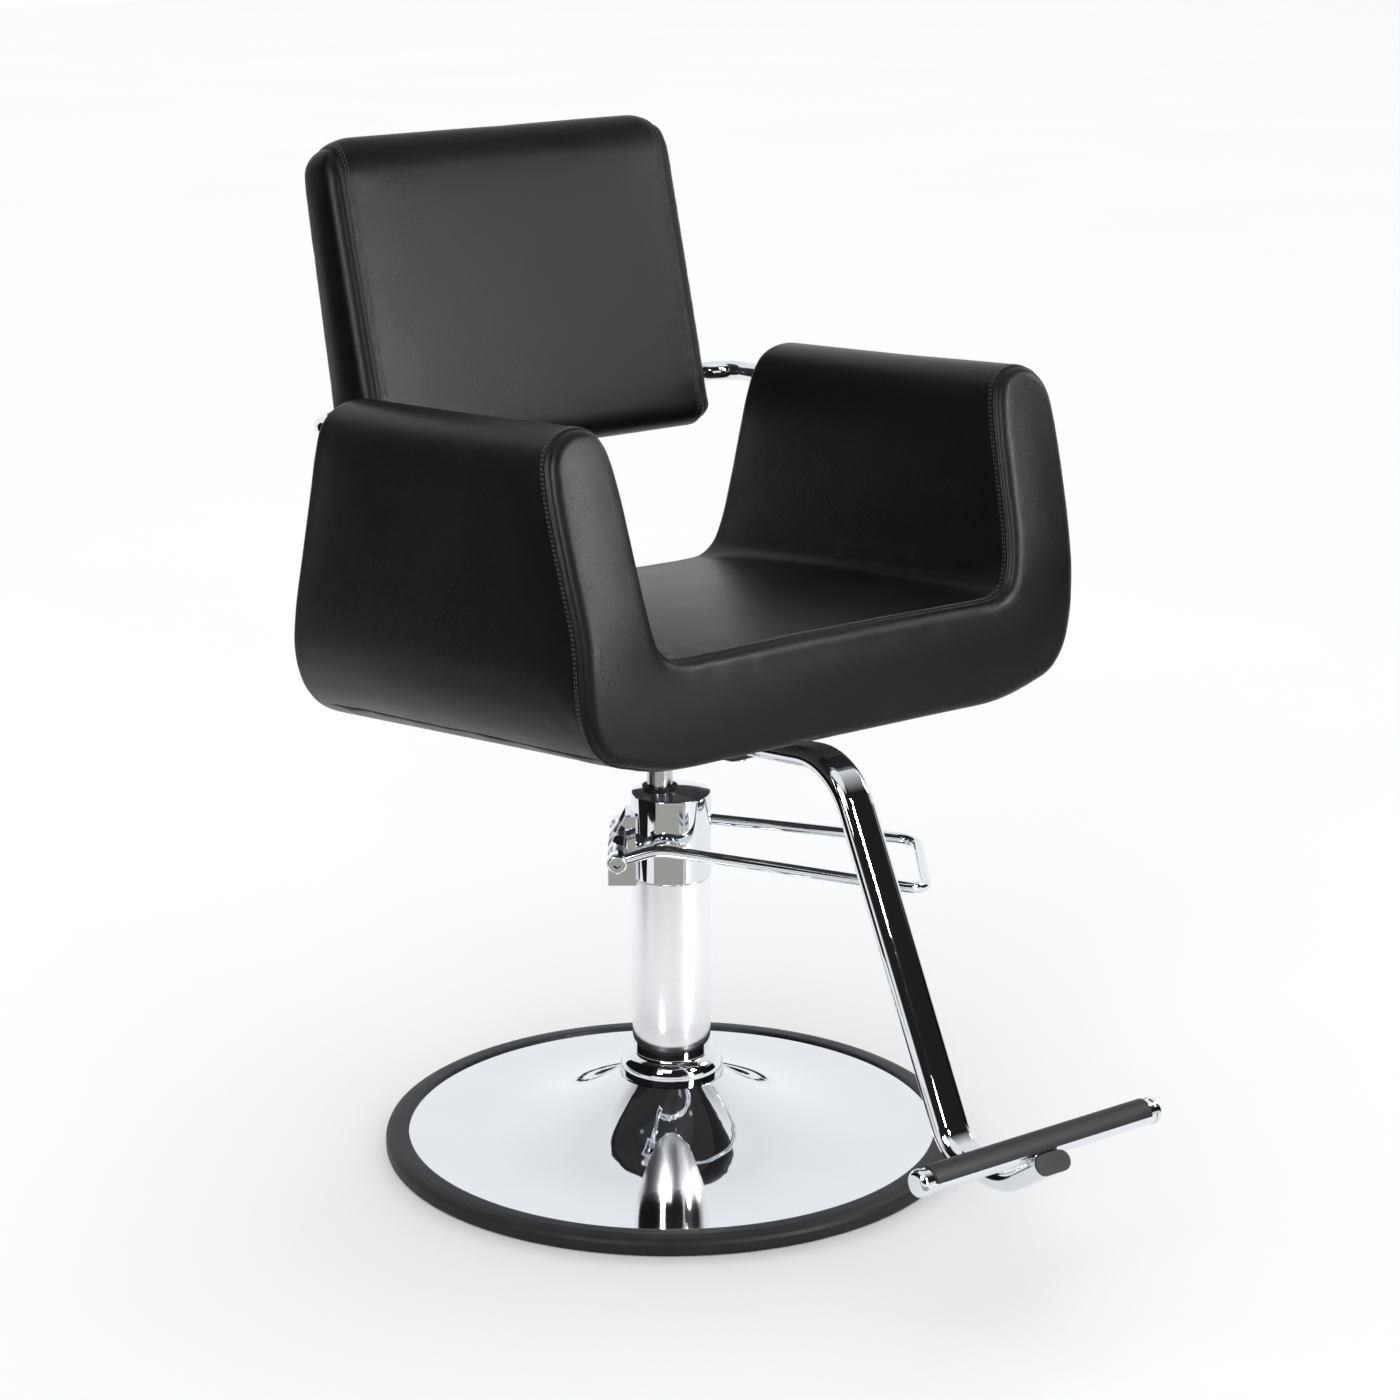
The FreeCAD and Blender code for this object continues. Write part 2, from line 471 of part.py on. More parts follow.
bp = [(back_front(728), 728), (202.5, 716), (210, 709), (222, BACK_Z0), (254, BACK_Z0), (266, 708), (274, 716), (back_rear(734), 734),
      (back_rear(1002), 1002), (334, 1016), (327, 1026), (315, BACK_Z1), (302, BACK_Z1), (290, 1027), (283, 1018), (back_front(1006), 1006)]
back = prism([(OX - BACK_HALF, y, z) for y, z in bp], (2 * BACK_HALF, 0, 0))
rr = 28.0
rect = box(OX - BACK_HALF, 150, BACK_Z0 - 1, OX + BACK_HALF, 400, BACK_Z1 + 1)
rect = rect.makeFillet(rr, [ed for ed in rect.Edges if abs(ed.tangentAt(ed.FirstParameter).y) > 0.9])
back = back.common(rect)
LEAN = atan2(0.275, 1.0)


def lean(s):
    """From the back's frame (z up its front plane, y behind it) to the chair's."""
    s = s.copy()
    s.rotate(V(0, 0, 0), X0, -LEAN * 180 / pi)
    s.translate(V(OX, back_front(BACK_Z0), BACK_Z0))
    return s


TUBE_R = 10.5
tz = 753.0
ty = 244.5
tube_pts = [(OX + 70, ty, tz), (OX + 262, ty, tz + 4.0), (OX + 262, 121.0, 762.0)]
back_tubes = sweep(path(tube_pts, [36]), round_profile(TUBE_R, tube_pts[0], (192, 0, 4.0)))
back_hole = sweep(path(tube_pts, [36]), round_profile(TUBE_R - 1.6, tube_pts[0], (192, 0, 4.0)))
bt_r = back_tubes.cut(back_hole)
dirb = (V(*tube_pts[2]) - V(*tube_pts[1])).normalize()
pend = V(*tube_pts[2])
sock_r = Part.makeCylinder(14.0, 28.0, pend - dirb * 26.0, dirb)
sock_r = sock_r.cut(Part.makeCylinder(TUBE_R, 80, pend - dirb * 80, dirb))
fplate = lean(box(-185, 23, 18, 185, 26, 86))
bboard = lean(box(-196, 11, 16, 196, 23, 312))
fs = []
for bx in (-165, -120, 120, 165):
    fs.append(lean(fuse([cyl(3, (bx, 14, 78), (bx, 26, 78)), cyl(5.5, (bx, 26, 78), (bx, 29, 78))])))
fs = Part.makeCompound(fs)
solid_tube_r = back_tubes
solid_tube_l = mirror_x(back_tubes)
fplate = fplate.cut(fs).cut(solid_tube_r).cut(solid_tube_l)
bboard = bboard.cut(fs)
keep("back_frame_screws", fs)
keep("back_frame_plate", fplate)
keep("back_board", bboard)
keep("back_tube_right", bt_r)
keep("back_tube_left", mirror_x(bt_r))
keep("tube_sockets", Part.makeCompound([sock_r, mirror_x(sock_r)]))
back_in = inset(back, SKIN)
back_stuff = Part.makeCompound([fplate, bboard, fs, solid_tube_r, solid_tube_l])
keep("back_foam", max(back_in.cut(back_stuff).Solids, key=lambda s: s.Volume))
keep("back_cushion", max(back.cut(back_in).cut(back_stuff).Solids, key=lambda s: s.Volume))

hole_r = Part.makeCylinder(14.0, 28.0, pend - dirb * 26.0, dirb)
arm_stuff = Part.makeCompound([arm_board_r, br, sc_r, solid_tube_r, hole_r])
arm_in = inset(arm_r, SKIN).common(arm_r)
arm_foam = max(arm_in.cut(arm_stuff).Solids, key=lambda s: s.Volume)
arm_skin = max(arm_r.cut(arm_in).cut(arm_stuff).Solids, key=lambda s: s.Volume)
keep("arm_foam_right", arm_foam)
keep("arm_foam_left", mirror_x(arm_foam))
keep("arm_right", arm_skin)
keep("arm_left", mirror_x(arm_skin))
seat_stuff = Part.makeCompound([board, br, mirror_x(br), sc_all, plate_bolts])
seat_in = inset(seat, SKIN)
keep("seat_foam", max(seat_in.cut(seat_stuff).Solids, key=lambda s: s.Volume))
keep("seat_cushion", max(seat.cut(seat_in).cut(seat_stuff).Solids, key=lambda s: s.Volume))

# ------------------------------------------------------------------ write
for name, shape in PARTS.items():
    ok = shape.isValid()
    shape.exportStep("parts/%s.step" % name)
    bb = shape.BoundBox
    print("%-24s solids %d valid %s vol %10.1f  x %.1f..%.1f y %.1f..%.1f z %.1f..%.1f" % (
        name, len(shape.Solids), ok, shape.Volume, bb.XMin, bb.XMax, bb.YMin, bb.YMax, bb.ZMin, bb.ZMax))
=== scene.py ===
import json
import math

import bpy
import numpy as np
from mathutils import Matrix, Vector, geometry, kdtree


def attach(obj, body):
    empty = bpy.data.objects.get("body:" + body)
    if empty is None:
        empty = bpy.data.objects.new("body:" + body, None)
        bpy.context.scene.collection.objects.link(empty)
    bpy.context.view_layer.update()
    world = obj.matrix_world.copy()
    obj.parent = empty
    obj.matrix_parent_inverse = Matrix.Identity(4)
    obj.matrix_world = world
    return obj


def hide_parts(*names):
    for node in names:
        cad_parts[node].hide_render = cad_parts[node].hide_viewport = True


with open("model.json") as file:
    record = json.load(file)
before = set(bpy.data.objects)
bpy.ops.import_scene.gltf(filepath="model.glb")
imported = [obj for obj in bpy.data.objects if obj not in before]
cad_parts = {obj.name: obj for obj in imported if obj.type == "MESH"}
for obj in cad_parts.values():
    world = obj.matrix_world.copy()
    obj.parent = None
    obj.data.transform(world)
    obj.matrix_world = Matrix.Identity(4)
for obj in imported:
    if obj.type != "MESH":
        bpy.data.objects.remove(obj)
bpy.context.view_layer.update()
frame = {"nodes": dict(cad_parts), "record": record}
NODES = frame["nodes"]
scene = bpy.context.scene
OX = -6.4  # the seat's plane of symmetry, mm
rng = np.random.default_rng(7)


# ---------------------------------------------------------------- materials
def new_mat(name):
    m = bpy.data.materials.new(name)
    m.use_nodes = True
    nt = m.node_tree
    b = nt.nodes["Principled BSDF"]
    return m, nt, b


def coords(nt, scale=(1, 1, 1)):
    tc = nt.nodes.new("ShaderNodeTexCoord")
    mp = nt.nodes.new("ShaderNodeMapping")
    mp.inputs["Scale"].default_value = scale
    nt.links.new(tc.outputs["Object"], mp.inputs["Vector"])
    return mp.outputs["Vector"]


def noise(nt, vec, scale, detail=3.0, rough=0.5, distortion=0.0):
    n = nt.nodes.new("ShaderNodeTexNoise")
    n.inputs["Scale"].default_value = scale
    n.inputs["Detail"].default_value = detail
    n.inputs["Roughness"].default_value = rough
    n.inputs["Distortion"].default_value = distortion
    nt.links.new(vec, n.inputs["Vector"])
    return n.outputs["Fac"]


def voronoi(nt, vec, scale, feature="F1", out="Distance", rand=1.0):
    n = nt.nodes.new("ShaderNodeTexVoronoi")
    n.feature = feature
    n.inputs["Scale"].default_value = scale
    n.inputs["Randomness"].default_value = rand
    nt.links.new(vec, n.inputs["Vector"])
    return n.outputs[out]


def ramp(nt, fac, stops):
    r = nt.nodes.new("ShaderNodeValToRGB")
    cr = r.color_ramp
    while len(cr.elements) < len(stops):
        cr.elements.new(0.5)
    for e, (p, c) in zip(cr.elements, stops):
        e.position = p
        e.color = (c[0], c[1], c[2], 1.0) if hasattr(c, "__len__") else (c, c, c, 1.0)
    nt.links.new(fac, r.inputs["Fac"])
    return r.outputs["Color"]


def remap(nt, fac, a, b, c, d):
    m = nt.nodes.new("ShaderNodeMapRange")
    m.inputs["From Min"].default_value = a
    m.inputs["From Max"].default_value = b
    m.inputs["To Min"].default_value = c
    m.inputs["To Max"].default_value = d
    nt.links.new(fac, m.inputs["Value"])
    return m.outputs["Result"]


def math2(nt, op, a, b):
    m = nt.nodes.new("ShaderNodeMath")
    m.operation = op
    for i, v in enumerate((a, b)):
        if isinstance(v, (int, float)):
            m.inputs[i].default_value = v
        else:
            nt.links.new(v, m.inputs[i])
    return m.outputs[0]


def bump(nt, b, height, dist, strength=1.0, prev=None):
    n = nt.nodes.new("ShaderNodeBump")
    n.inputs["Strength"].default_value = strength
    n.inputs["Distance"].default_value = dist
    nt.links.new(height, n.inputs["Height"])
    if prev is not None:
        nt.links.new(prev, n.inputs["Normal"])
    nt.links.new(n.outputs["Normal"], b.inputs["Normal"])
    return n.outputs["Normal"]


def mat_chrome(name="chrome", tint=(0.80, 0.815, 0.84), r0=0.022, r1=0.05):
    m, nt, b = new_mat(name)
    v = coords(nt)
    b.inputs["Metallic"].default_value = 1.0
    big = noise(nt, v, 9.0, 3.0)
    nt.links.new(
        ramp(
            nt, big, [(0.3, tuple(c * 0.965 for c in tint)), (0.7, tint)]
        ),
        b.inputs["Base Color"],
    )
    fine = noise(nt, coords(nt, (1, 1, 6)), 160.0, 4.0, 0.6)
    smear = noise(nt, v, 14.0, 4.0, 0.55)
    mix = math2(nt, "MULTIPLY", fine, smear)
    nt.links.new(remap(nt, mix, 0.15, 0.42, r0, r1), b.inputs["Roughness"])
    return m


def mat_steel(name="machined_steel"):
    m, nt, b = new_mat(name)
    b.inputs["Metallic"].default_value = 1.0
    v = coords(nt)
    lines = noise(nt, coords(nt, (1, 1, 14)), 120.0, 4.0, 0.6)
    nt.links.new(
        ramp(nt, noise(nt, v, 30.0), [(0.3, (0.40, 0.40, 0.41)), (0.7, (0.55, 0.55, 0.56))]),
        b.inputs["Base Color"],
    )
    nt.links.new(remap(nt, lines, 0.3, 0.7, 0.24, 0.42), b.inputs["Roughness"])
    bump(nt, b, lines, 0.00004)
    return m


def mat_bronze():
    m, nt, b = new_mat("machined_bronze")
    b.inputs["Metallic"].default_value = 1.0
    v = coords(nt)
    nt.links.new(
        ramp(nt, noise(nt, v, 60.0), [(0.3, (0.45, 0.29, 0.13)), (0.7, (0.62, 0.43, 0.22))]),
        b.inputs["Base Color"],
    )
    nt.links.new(remap(nt, noise(nt, v, 200.0), 0.3, 0.7, 0.25, 0.4), b.inputs["Roughness"])
    return m


def mat_rubber(name="rubber", dark=(0.012, 0.0123, 0.0132), light=(0.020, 0.0204, 0.022), rough=(0.42, 0.58)):
    m, nt, b = new_mat(name)
    v = coords(nt)
    n1 = noise(nt, v, 22.0, 5.0, 0.6)
    n2 = noise(nt, v, 900.0, 2.0)
    nt.links.new(ramp(nt, n1, [(0.3, dark), (0.72, light)]), b.inputs["Base Color"])
    nt.links.new(remap(nt, n1, 0.3, 0.7, rough[0], rough[1]), b.inputs["Roughness"])
    b.inputs["Specular IOR Level"].default_value = 0.22
    bump(nt, b, n2, 0.00006, 0.7)
    return m


def mat_paint():
    m, nt, b = new_mat("black_powder_coat")
    v = coords(nt)
    orange = noise(nt, v, 650.0, 2.0)
    nt.links.new(
        ramp(nt, noise(nt, v, 25.0), [(0.3, (0.014, 0.014, 0.015)), (0.7, (0.024, 0.024, 0.026))]),
        b.inputs["Base Color"],
    )
    nt.links.new(remap(nt, orange, 0.3, 0.7, 0.36, 0.5), b.inputs["Roughness"])
    bump(nt, b, orange, 0.00012)
    return m


def mat_plastic():
    m, nt, b = new_mat("moulded_black_plastic")
    v = coords(nt)
    grain = voronoi(nt, v, 1100.0)
    nt.links.new(
        ramp(nt, noise(nt, v, 40.0), [(0.3, (0.012, 0.012, 0.013)), (0.7, (0.020, 0.020, 0.022))]),
        b.inputs["Base Color"],
    )
    nt.links.new(remap(nt, noise(nt, v, 90.0), 0.3, 0.7, 0.42, 0.56), b.inputs["Roughness"])
    b.inputs["Specular IOR Level"].default_value = 0.2
    bump(nt, b, grain, 0.00008)
    return m


def mat_vinyl(name="black_vinyl"):
    m, nt, b = new_mat(name)
    v = coords(nt)
    warp = noise(nt, v, 210.0, 2.0)
    cells = voronoi(nt, v, 470.0, "DISTANCE_TO_EDGE", "Distance")
    pores = voronoi(nt, v, 250.0, "F1", "Distance")
    fine = noise(nt, v, 1500.0, 3.0, 0.6)
    soft = noise(nt, v, 7.0, 4.0, 0.55)
    creases = math2(nt, "MINIMUM", cells, 0.16)
    h = math2(nt, "ADD", math2(nt, "MULTIPLY", creases, 3.4), math2(nt, "MULTIPLY", fine, 0.28))
    h = math2(nt, "ADD", h, math2(nt, "MULTIPLY", pores, 0.30))
    h = math2(nt, "ADD", h, math2(nt, "MULTIPLY", warp, 0.45))
    nt.links.new(
        ramp(nt, soft, [(0.3, (0.0042, 0.0042, 0.0044)), (0.7, (0.0066, 0.0066, 0.0069))]),
        b.inputs["Base Color"],
    )
    rr = math2(nt, "ADD", math2(nt, "MULTIPLY", soft, 0.16), math2(nt, "MULTIPLY", creases, -0.35))
    nt.links.new(remap(nt, rr, -0.02, 0.12, 0.30, 0.43), b.inputs["Roughness"])
    b.inputs["Specular IOR Level"].default_value = 0.165
    bump(nt, b, h, 0.00013, 0.85)
    return m


def mat_thread():
    m, nt, b = new_mat("upholstery_thread")
    v = coords(nt)
    twist = noise(nt, coords(nt, (1, 1, 1)), 1600.0, 2.0)
    nt.links.new(
        ramp(nt, twist, [(0.3, (0.020, 0.020, 0.022)), (0.7, (0.060, 0.060, 0.064))]),
        b.inputs["Base Color"],
    )
    b.inputs["Roughness"].default_value = 0.55
    b.inputs["Sheen Weight"].default_value = 0.2
    bump(nt, b, twist, 0.0001)
    return m


def mat_cloth():
    m, nt, b = new_mat("nonwoven_dust_cover")
    v = coords(nt)
    dots = voronoi(nt, v, 420.0)
    fibres = noise(nt, coords(nt, (1, 3, 1)), 700.0, 4.0, 0.65, 1.2)
    nt.links.new(
        ramp(nt, fibres, [(0.3, (0.010, 0.010, 0.011)), (0.7, (0.026, 0.026, 0.028))]),
        b.inputs["Base Color"],
    )
    nt.links.new(remap(nt, fibres, 0.3, 0.7, 0.72, 0.95), b.inputs["Roughness"])
    bump(nt, b, math2(nt, "ADD", dots, fibres), 0.0002)
    return m


def mat_wood():
    m, nt, b = new_mat("birch_plywood")
    grain = noise(nt, coords(nt, (1, 0.12, 3)), 60.0, 6.0, 0.6, 0.8)
    nt.links.new(
        ramp(nt, grain, [(0.3, (0.42, 0.28, 0.15)), (0.7, (0.62, 0.46, 0.29))]),
        b.inputs["Base Color"],
    )
    nt.links.new(remap(nt, grain, 0.3, 0.7, 0.5, 0.7), b.inputs["Roughness"])
    bump(nt, b, grain, 0.0002)
    return m


def mat_foam():
    m, nt, b = new_mat("polyurethane_foam")
    v = coords(nt)
    cell = voronoi(nt, v, 700.0)
    nt.links.new(
        ramp(nt, cell, [(0.1, (0.55, 0.50, 0.38)), (0.6, (0.78, 0.74, 0.62))]),
        b.inputs["Base Color"],
    )
    nt.links.new(remap(nt, cell, 0.0, 0.8, 0.8, 0.95), b.inputs["Roughness"])
    bump(nt, b, cell, 0.0005)
    return m


M = {
    "chrome": mat_chrome(),
    "steel": mat_steel(),
    "bronze": mat_bronze(),
    "rubber": mat_rubber(),
    "black_metal": mat_paint(),
    "black_plastic": mat_plastic(),
    "vinyl": mat_vinyl(),
    "dust_cover": mat_cloth(),
    "plywood": mat_wood(),
    "foam": mat_foam(),
}
M["thread"] = mat_thread()


def mat_column():
    """Satin above, polished at the foot; the change follows the height on the part."""
    m, nt, b = new_mat("satin_chrome")
    v = coords(nt)
    b.inputs["Metallic"].default_value = 1.0
    big = noise(nt, v, 9.0, 3.0)
    nt.links.new(ramp(nt, big, [(0.3, (0.91, 0.915, 0.925)), (0.7, (0.93, 0.935, 0.945))]), b.inputs["Base Color"])
    at = nt.nodes.new("ShaderNodeSeparateXYZ")
    nt.links.new(v, at.inputs["Vector"])
    lines = noise(nt, coords(nt, (1, 1, 14)), 90.0, 4.0, 0.6)
    satin = remap(nt, lines, 0.3, 0.7, 0.27, 0.34)
    nt.links.new(math2(nt, "MULTIPLY", satin, remap(nt, at.outputs["Z"], 0.118, 0.140, 0.12, 1.0)), b.inputs["Roughness"])
    return m


M["satin_chrome"] = mat_column()
M["hard_chrome"] = mat_chrome("ground_hard_chrome", (0.56, 0.565, 0.58), 0.13, 0.24)

slot_of = {}
for sp in frame["record"]["subparts"]:
    slot_of[sp["node"]] = sp["material_slot"]
for name, ob in NODES.items():
    mat = M[slot_of.get(name, "steel")]
    if name == "piston_rod":
        mat = M["hard_chrome"]
    if name == "column_tube":
        mat = M["satin_chrome"]
    if len(ob.material_slots) == 0:
        ob.data.materials.append(mat)
    for s in ob.material_slots:
        s.material = mat


# ---------------------------------------------------------------- mesh helpers
def make_obj(name, verts_mm, faces, mat, smooth=True):
    me = bpy.data.meshes.new(name)
    me.from_pydata((np.asarray(verts_mm, float) * 0.001).tolist(), [], faces)
    me.validate()
    me.update()
    if smooth:
        me.polygons.foreach_set("use_smooth", np.ones(len(me.polygons), bool))
    me.materials.append(mat)
    ob = bpy.data.objects.new(name, me)
    scene.collection.objects.link(ob)
    return ob


def place(ob, body, replaced=()):
    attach(ob, body)
    if replaced:
        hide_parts(*replaced)
    return ob


def spline(P, p):
    """Non-uniform Catmull-Rom through the rows of P at parameters p (in row numbers)."""
    P = np.asarray(P, float)
    E = np.vstack([2 * P[0] - P[1], P, 2 * P[-1] - P[-2]])
    i = np.clip(np.floor(p).astype(int), 0, len(P) - 2)
    f = (p - i)[:, None]
    P0, P1, P2, P3 = E[i], E[i + 1], E[i + 2], E[i + 3]
    d0 = np.maximum(np.linalg.norm(P1 - P0, axis=1), 1e-6)[:, None]
    d1 = np.maximum(np.linalg.norm(P2 - P1, axis=1), 1e-6)[:, None]
    d2 = np.maximum(np.linalg.norm(P3 - P2, axis=1), 1e-6)[:, None]
    m1 = d1 * ((P1 - P0) / d0 - (P2 - P0) / (d0 + d1) + (P2 - P1) / d1)
    m2 = d1 * ((P2 - P1) / d1 - (P3 - P1) / (d1 + d2) + (P3 - P2) / d2)
    h1 = 2 * f**3 - 3 * f**2 + 1
    h2 = f**3 - 2 * f**2 + f
    h3 = -2 * f**3 + 3 * f**2
    h4 = f**3 - f**2
    return h1 * P1 + h2 * m1 + h3 * P2 + h4 * m2


def loop_normals(Q):
    t = np.roll(Q, -1, 0) - np.roll(Q, 1, 0)
    t /= np.maximum(np.linalg.norm(t, axis=1), 1e-9)[:, None]
    return np.stack([t[:, 1], -t[:, 0]], 1)


def smooth_loop(Q, n=1, w=0.5):
    for _ in range(n):
        Q = (1 - w) * Q + w * 0.5 * (np.roll(Q, -1, 0) + np.roll(Q, 1, 0))
    return Q


def softplus(x, k):
    return k * np.logaddexp(0.0, x / k)


def wave(a, b, seed, lo, hi, n=9):
    """A smooth seeded ripple over two arrays of lengths in mm; lo..hi are its wavelengths."""
    r = np.random.default_rng(seed)
    out = np.zeros(np.broadcast(a, b).shape)
    for _ in range(n):
        lam = r.uniform(lo, hi)
        th = r.uniform(0, 2 * np.pi)
        out += np.sin(2 * np.pi * (a * math.cos(th) + b * math.sin(th)) / lam + r.uniform(0, 6.28))
    return out / math.sqrt(n)


def cap_fill(loop, edge_w, edge_h, crown, spacing=5.0, rings=(0.5, 1.2, 2.1, 3.3, 4.9, 7.0, 9.6)):
    """Fills a closed 2D loop with a crowned panel: returns 2D points (loop first), heights and triangles.
    edge_w is the width of the rounding next to the seam, per loop point or one number."""
    n = len(loop)
    edge_w = np.broadcast_to(np.asarray(edge_w, float), (n,))
    nrm = loop_normals(loop)
    a, b = loop, np.roll(loop, -1, 0)
    dense = np.concatenate([a + (b - a) * f for f in (0.0, 0.34, 0.67)])
    dense_w = np.concatenate([edge_w] * 3)

    def dist(p):
        d = np.empty(len(p))
        k = np.empty(len(p), int)
        for i in range(0, len(p), 2000):
            q = p[i : i + 2000, None, :] - dense[None]
            dd = (q**2).sum(2)
            k[i : i + 2000] = dd.argmin(1)
            d[i : i + 2000] = np.sqrt(dd.min(1))
        return d, k

    def inside(p):
        x, y = p[:, 0][:, None], p[:, 1][:, None]
        x0, y0, x1, y1 = a[:, 0], a[:, 1], b[:, 0], b[:, 1]
        hit = ((y0 > y) != (y1 > y)) & (x < (x1 - x0) * (y - y0) / np.where(np.abs(y1 - y0) < 1e-9, 1e-9, y1 - y0) + x0)
        return hit.sum(1) % 2 == 1

    pts = []
    for r in rings:
        q = loop - nrm * r
        d, _ = dist(q)
        ok = inside(q) & (d > 0.86 * r)
        pts.append(q[ok])
    lo, hi = loop.min(0), loop.max(0)
    gy = np.arange(lo[1], hi[1], spacing * 0.866)
    g = []
    for i, y in enumerate(gy):
        xs = np.arange(lo[0] + (spacing / 2 if i % 2 else 0), hi[0], spacing)
        g.append(np.stack([xs, np.full_like(xs, y)], 1))
    g = np.concatenate(g)
    g = g[inside(g)]
    d, _ = dist(g)
    g = g[d > rings[-1] + 0.55 * spacing]
    pts = np.concatenate(pts + [g])
    allp = np.concatenate([loop, pts])
    out = geometry.delaunay_2d_cdt([Vector(p) for p in allp.tolist()], [], [list(range(n))], 1, 1e-4, True)
    V2 = np.array([tuple(v) for v in out[0]])
    F = [list(f) for f in out[2]]
    mids = np.array([V2[f].mean(0) for f in F])
    F = [f for f, ok in zip(F, inside(mids)) if ok]
    orig = out[3]
    back = {}
    for i, o in enumerate(orig):
        for k in o:
            if k < n:
                back[k] = i
    order = [back[k] for k in range(n)]
    rest = [i for i in range(len(V2)) if i not in set(order)]
    new = {old: i for i, old in enumerate(order + rest)}
    V2 = V2[order + rest]
    F = [[new[i] for i in f] for f in F]
    # membrane height
    e = set()
    for f in F:
        for i in range(3):
            e.add((min(f[i], f[(i + 1) % 3]), max(f[i], f[(i + 1) % 3])))
    e = np.array(sorted(e))
    w = 1.0 / np.maximum(np.linalg.norm(V2[e[:, 0]] - V2[e[:, 1]], axis=1), 0.3)
    h = np.zeros(len(V2))
    area = np.full(len(V2), 1.0)
    deg = np.bincount(e[:, 0], w, len(V2)) + np.bincount(e[:, 1], w, len(V2))
    ln = np.linalg.norm(V2[e[:, 0]] - V2[e[:, 1]], axis=1)
    cell = (np.bincount(e[:, 0], ln, len(V2)) + np.bincount(e[:, 1], ln, len(V2))) / np.maximum(
        np.bincount(e[:, 0], minlength=len(V2)) + np.bincount(e[:, 1], minlength=len(V2)), 1
    )
    area = cell**1.0
    for _ in range(900):
        s = np.bincount(e[:, 0], w * h[e[:, 1]], len(V2)) + np.bincount(e[:, 1], w * h[e[:, 0]], len(V2))
        h = (s + area * 0.01) / deg
        h[:n] = 0
    h /= max(h.max(), 1e-9)
    d, k = dist(V2)
    d[:n] = 0
    q = np.clip(d / dense_w[k], 0, 1)
    H = edge_h * np.sqrt(np.maximum(0, 1 - (1 - q) ** 2)) + crown * h
    return V2, H, F, n, d


def relief(ob_verts, ob_faces, pinned, cap, frames=20, voxel=6.0, pressure=4.0):
    """Inflates a remeshed copy of a closed form as cloth, and returns a function giving how far the cover moved at a point."""
    me = bpy.data.meshes.new("sim_base")
    me.from_pydata((ob_verts * 0.001).tolist(), [], ob_faces)
    ob = bpy.data.objects.new("sim_base", me)
    scene.collection.objects.link(ob)
    md = ob.modifiers.new("remesh", "REMESH")
    md.mode = "VOXEL"
    md.voxel_size = voxel * 0.001
    dg = bpy.context.evaluated_depsgraph_get()
    sim_me = bpy.data.meshes.new_from_object(ob.evaluated_get(dg))
    bpy.data.objects.remove(ob)
    sim = bpy.data.objects.new("sim_cover", sim_me)
    scene.collection.objects.link(sim)
    n = len(sim_me.vertices)
    co = np.zeros(n * 3)
    sim_me.vertices.foreach_get("co", co)
    start = co.reshape(-1, 3) * 1000
    pin = np.where(pinned(start))[0]
    vg = sim.vertex_groups.new(name="pin")
    vg.add(pin.tolist(), 1.0, "REPLACE")
    cl = sim.modifiers.new("cloth", "CLOTH")
    s = cl.settings
    s.quality = 5
    s.mass = 0.35
    s.tension_stiffness = 22
    s.compression_stiffness = 22
    s.shear_stiffness = 9
    s.bending_stiffness = 1.2
    s.use_pressure = True
    s.uniform_pressure_force = pressure
    s.vertex_group_mass = "pin"
    s.effector_weights.gravity = 0
    cl.collision_settings.use_collision = False
    cl.collision_settings.use_self_collision = False
    cl.point_cache.frame_start = 1
    cl.point_cache.frame_end = frames
    for f in range(1, frames + 1):
        scene.frame_set(f)
    dg = bpy.context.evaluated_depsgraph_get()
    ev = sim.evaluated_get(dg)
    co2 = np.zeros(n * 3)
    ev.data.vertices.foreach_get("co", co2)
    end = co2.reshape(-1, 3) * 1000
    scene.frame_set(1)
    move = end - start
    size = np.linalg.norm(move, axis=1)
    lim = cap(start)
    keep = lim * np.tanh(size / np.maximum(lim, 1e-6)) / np.maximum(size, 1e-9)
    move = move * keep[:, None]
    ed = np.zeros(len(sim_me.edges) * 2, int)
    sim_me.edges.foreach_get("vertices", ed)
    ed = ed.reshape(-1, 2)
    deg = np.maximum(np.bincount(ed[:, 0], minlength=n) + np.bincount(ed[:, 1], minlength=n), 1)
    for _ in range(3):
        s2 = np.stack(
            [
                np.bincount(ed[:, 0], move[ed[:, 1], k], n) + np.bincount(ed[:, 1], move[ed[:, 0], k], n)
                for k in range(3)
            ],
            1,
        )
        move = 0.4 * move + 0.6 * s2 / deg[:, None]
    print("cloth:", n, "points, mean move %.1f mm, most %.1f mm before the cap" % (size.mean(), size.max()))
    bpy.data.objects.remove(sim)
    kd = kdtree.KDTree(n)
    for i, p in enumerate(start):
        kd.insert(p, i)
    kd.balance()

    def at(points):
        out = np.zeros((len(points), 3))
        for i, p in enumerate(points):
            near = kd.find_n(p, 5)
            w = np.array([1.0 / (q[2] + 0.4) ** 2 for q in near])
            out[i] = (move[[q[1] for q in near]] * w[:, None]).sum(0) / w.sum()
        return out

    return at


def vert_normals(V, F):
    me = bpy.data.meshes.new("tmp_n")
    me.from_pydata(V.tolist(), [], F)
    me.update()
    n = np.zeros(len(V) * 3)
    me.vertices.foreach_get("normal", n)
    bpy.data.meshes.remove(me)
    return n.reshape(-1, 3)


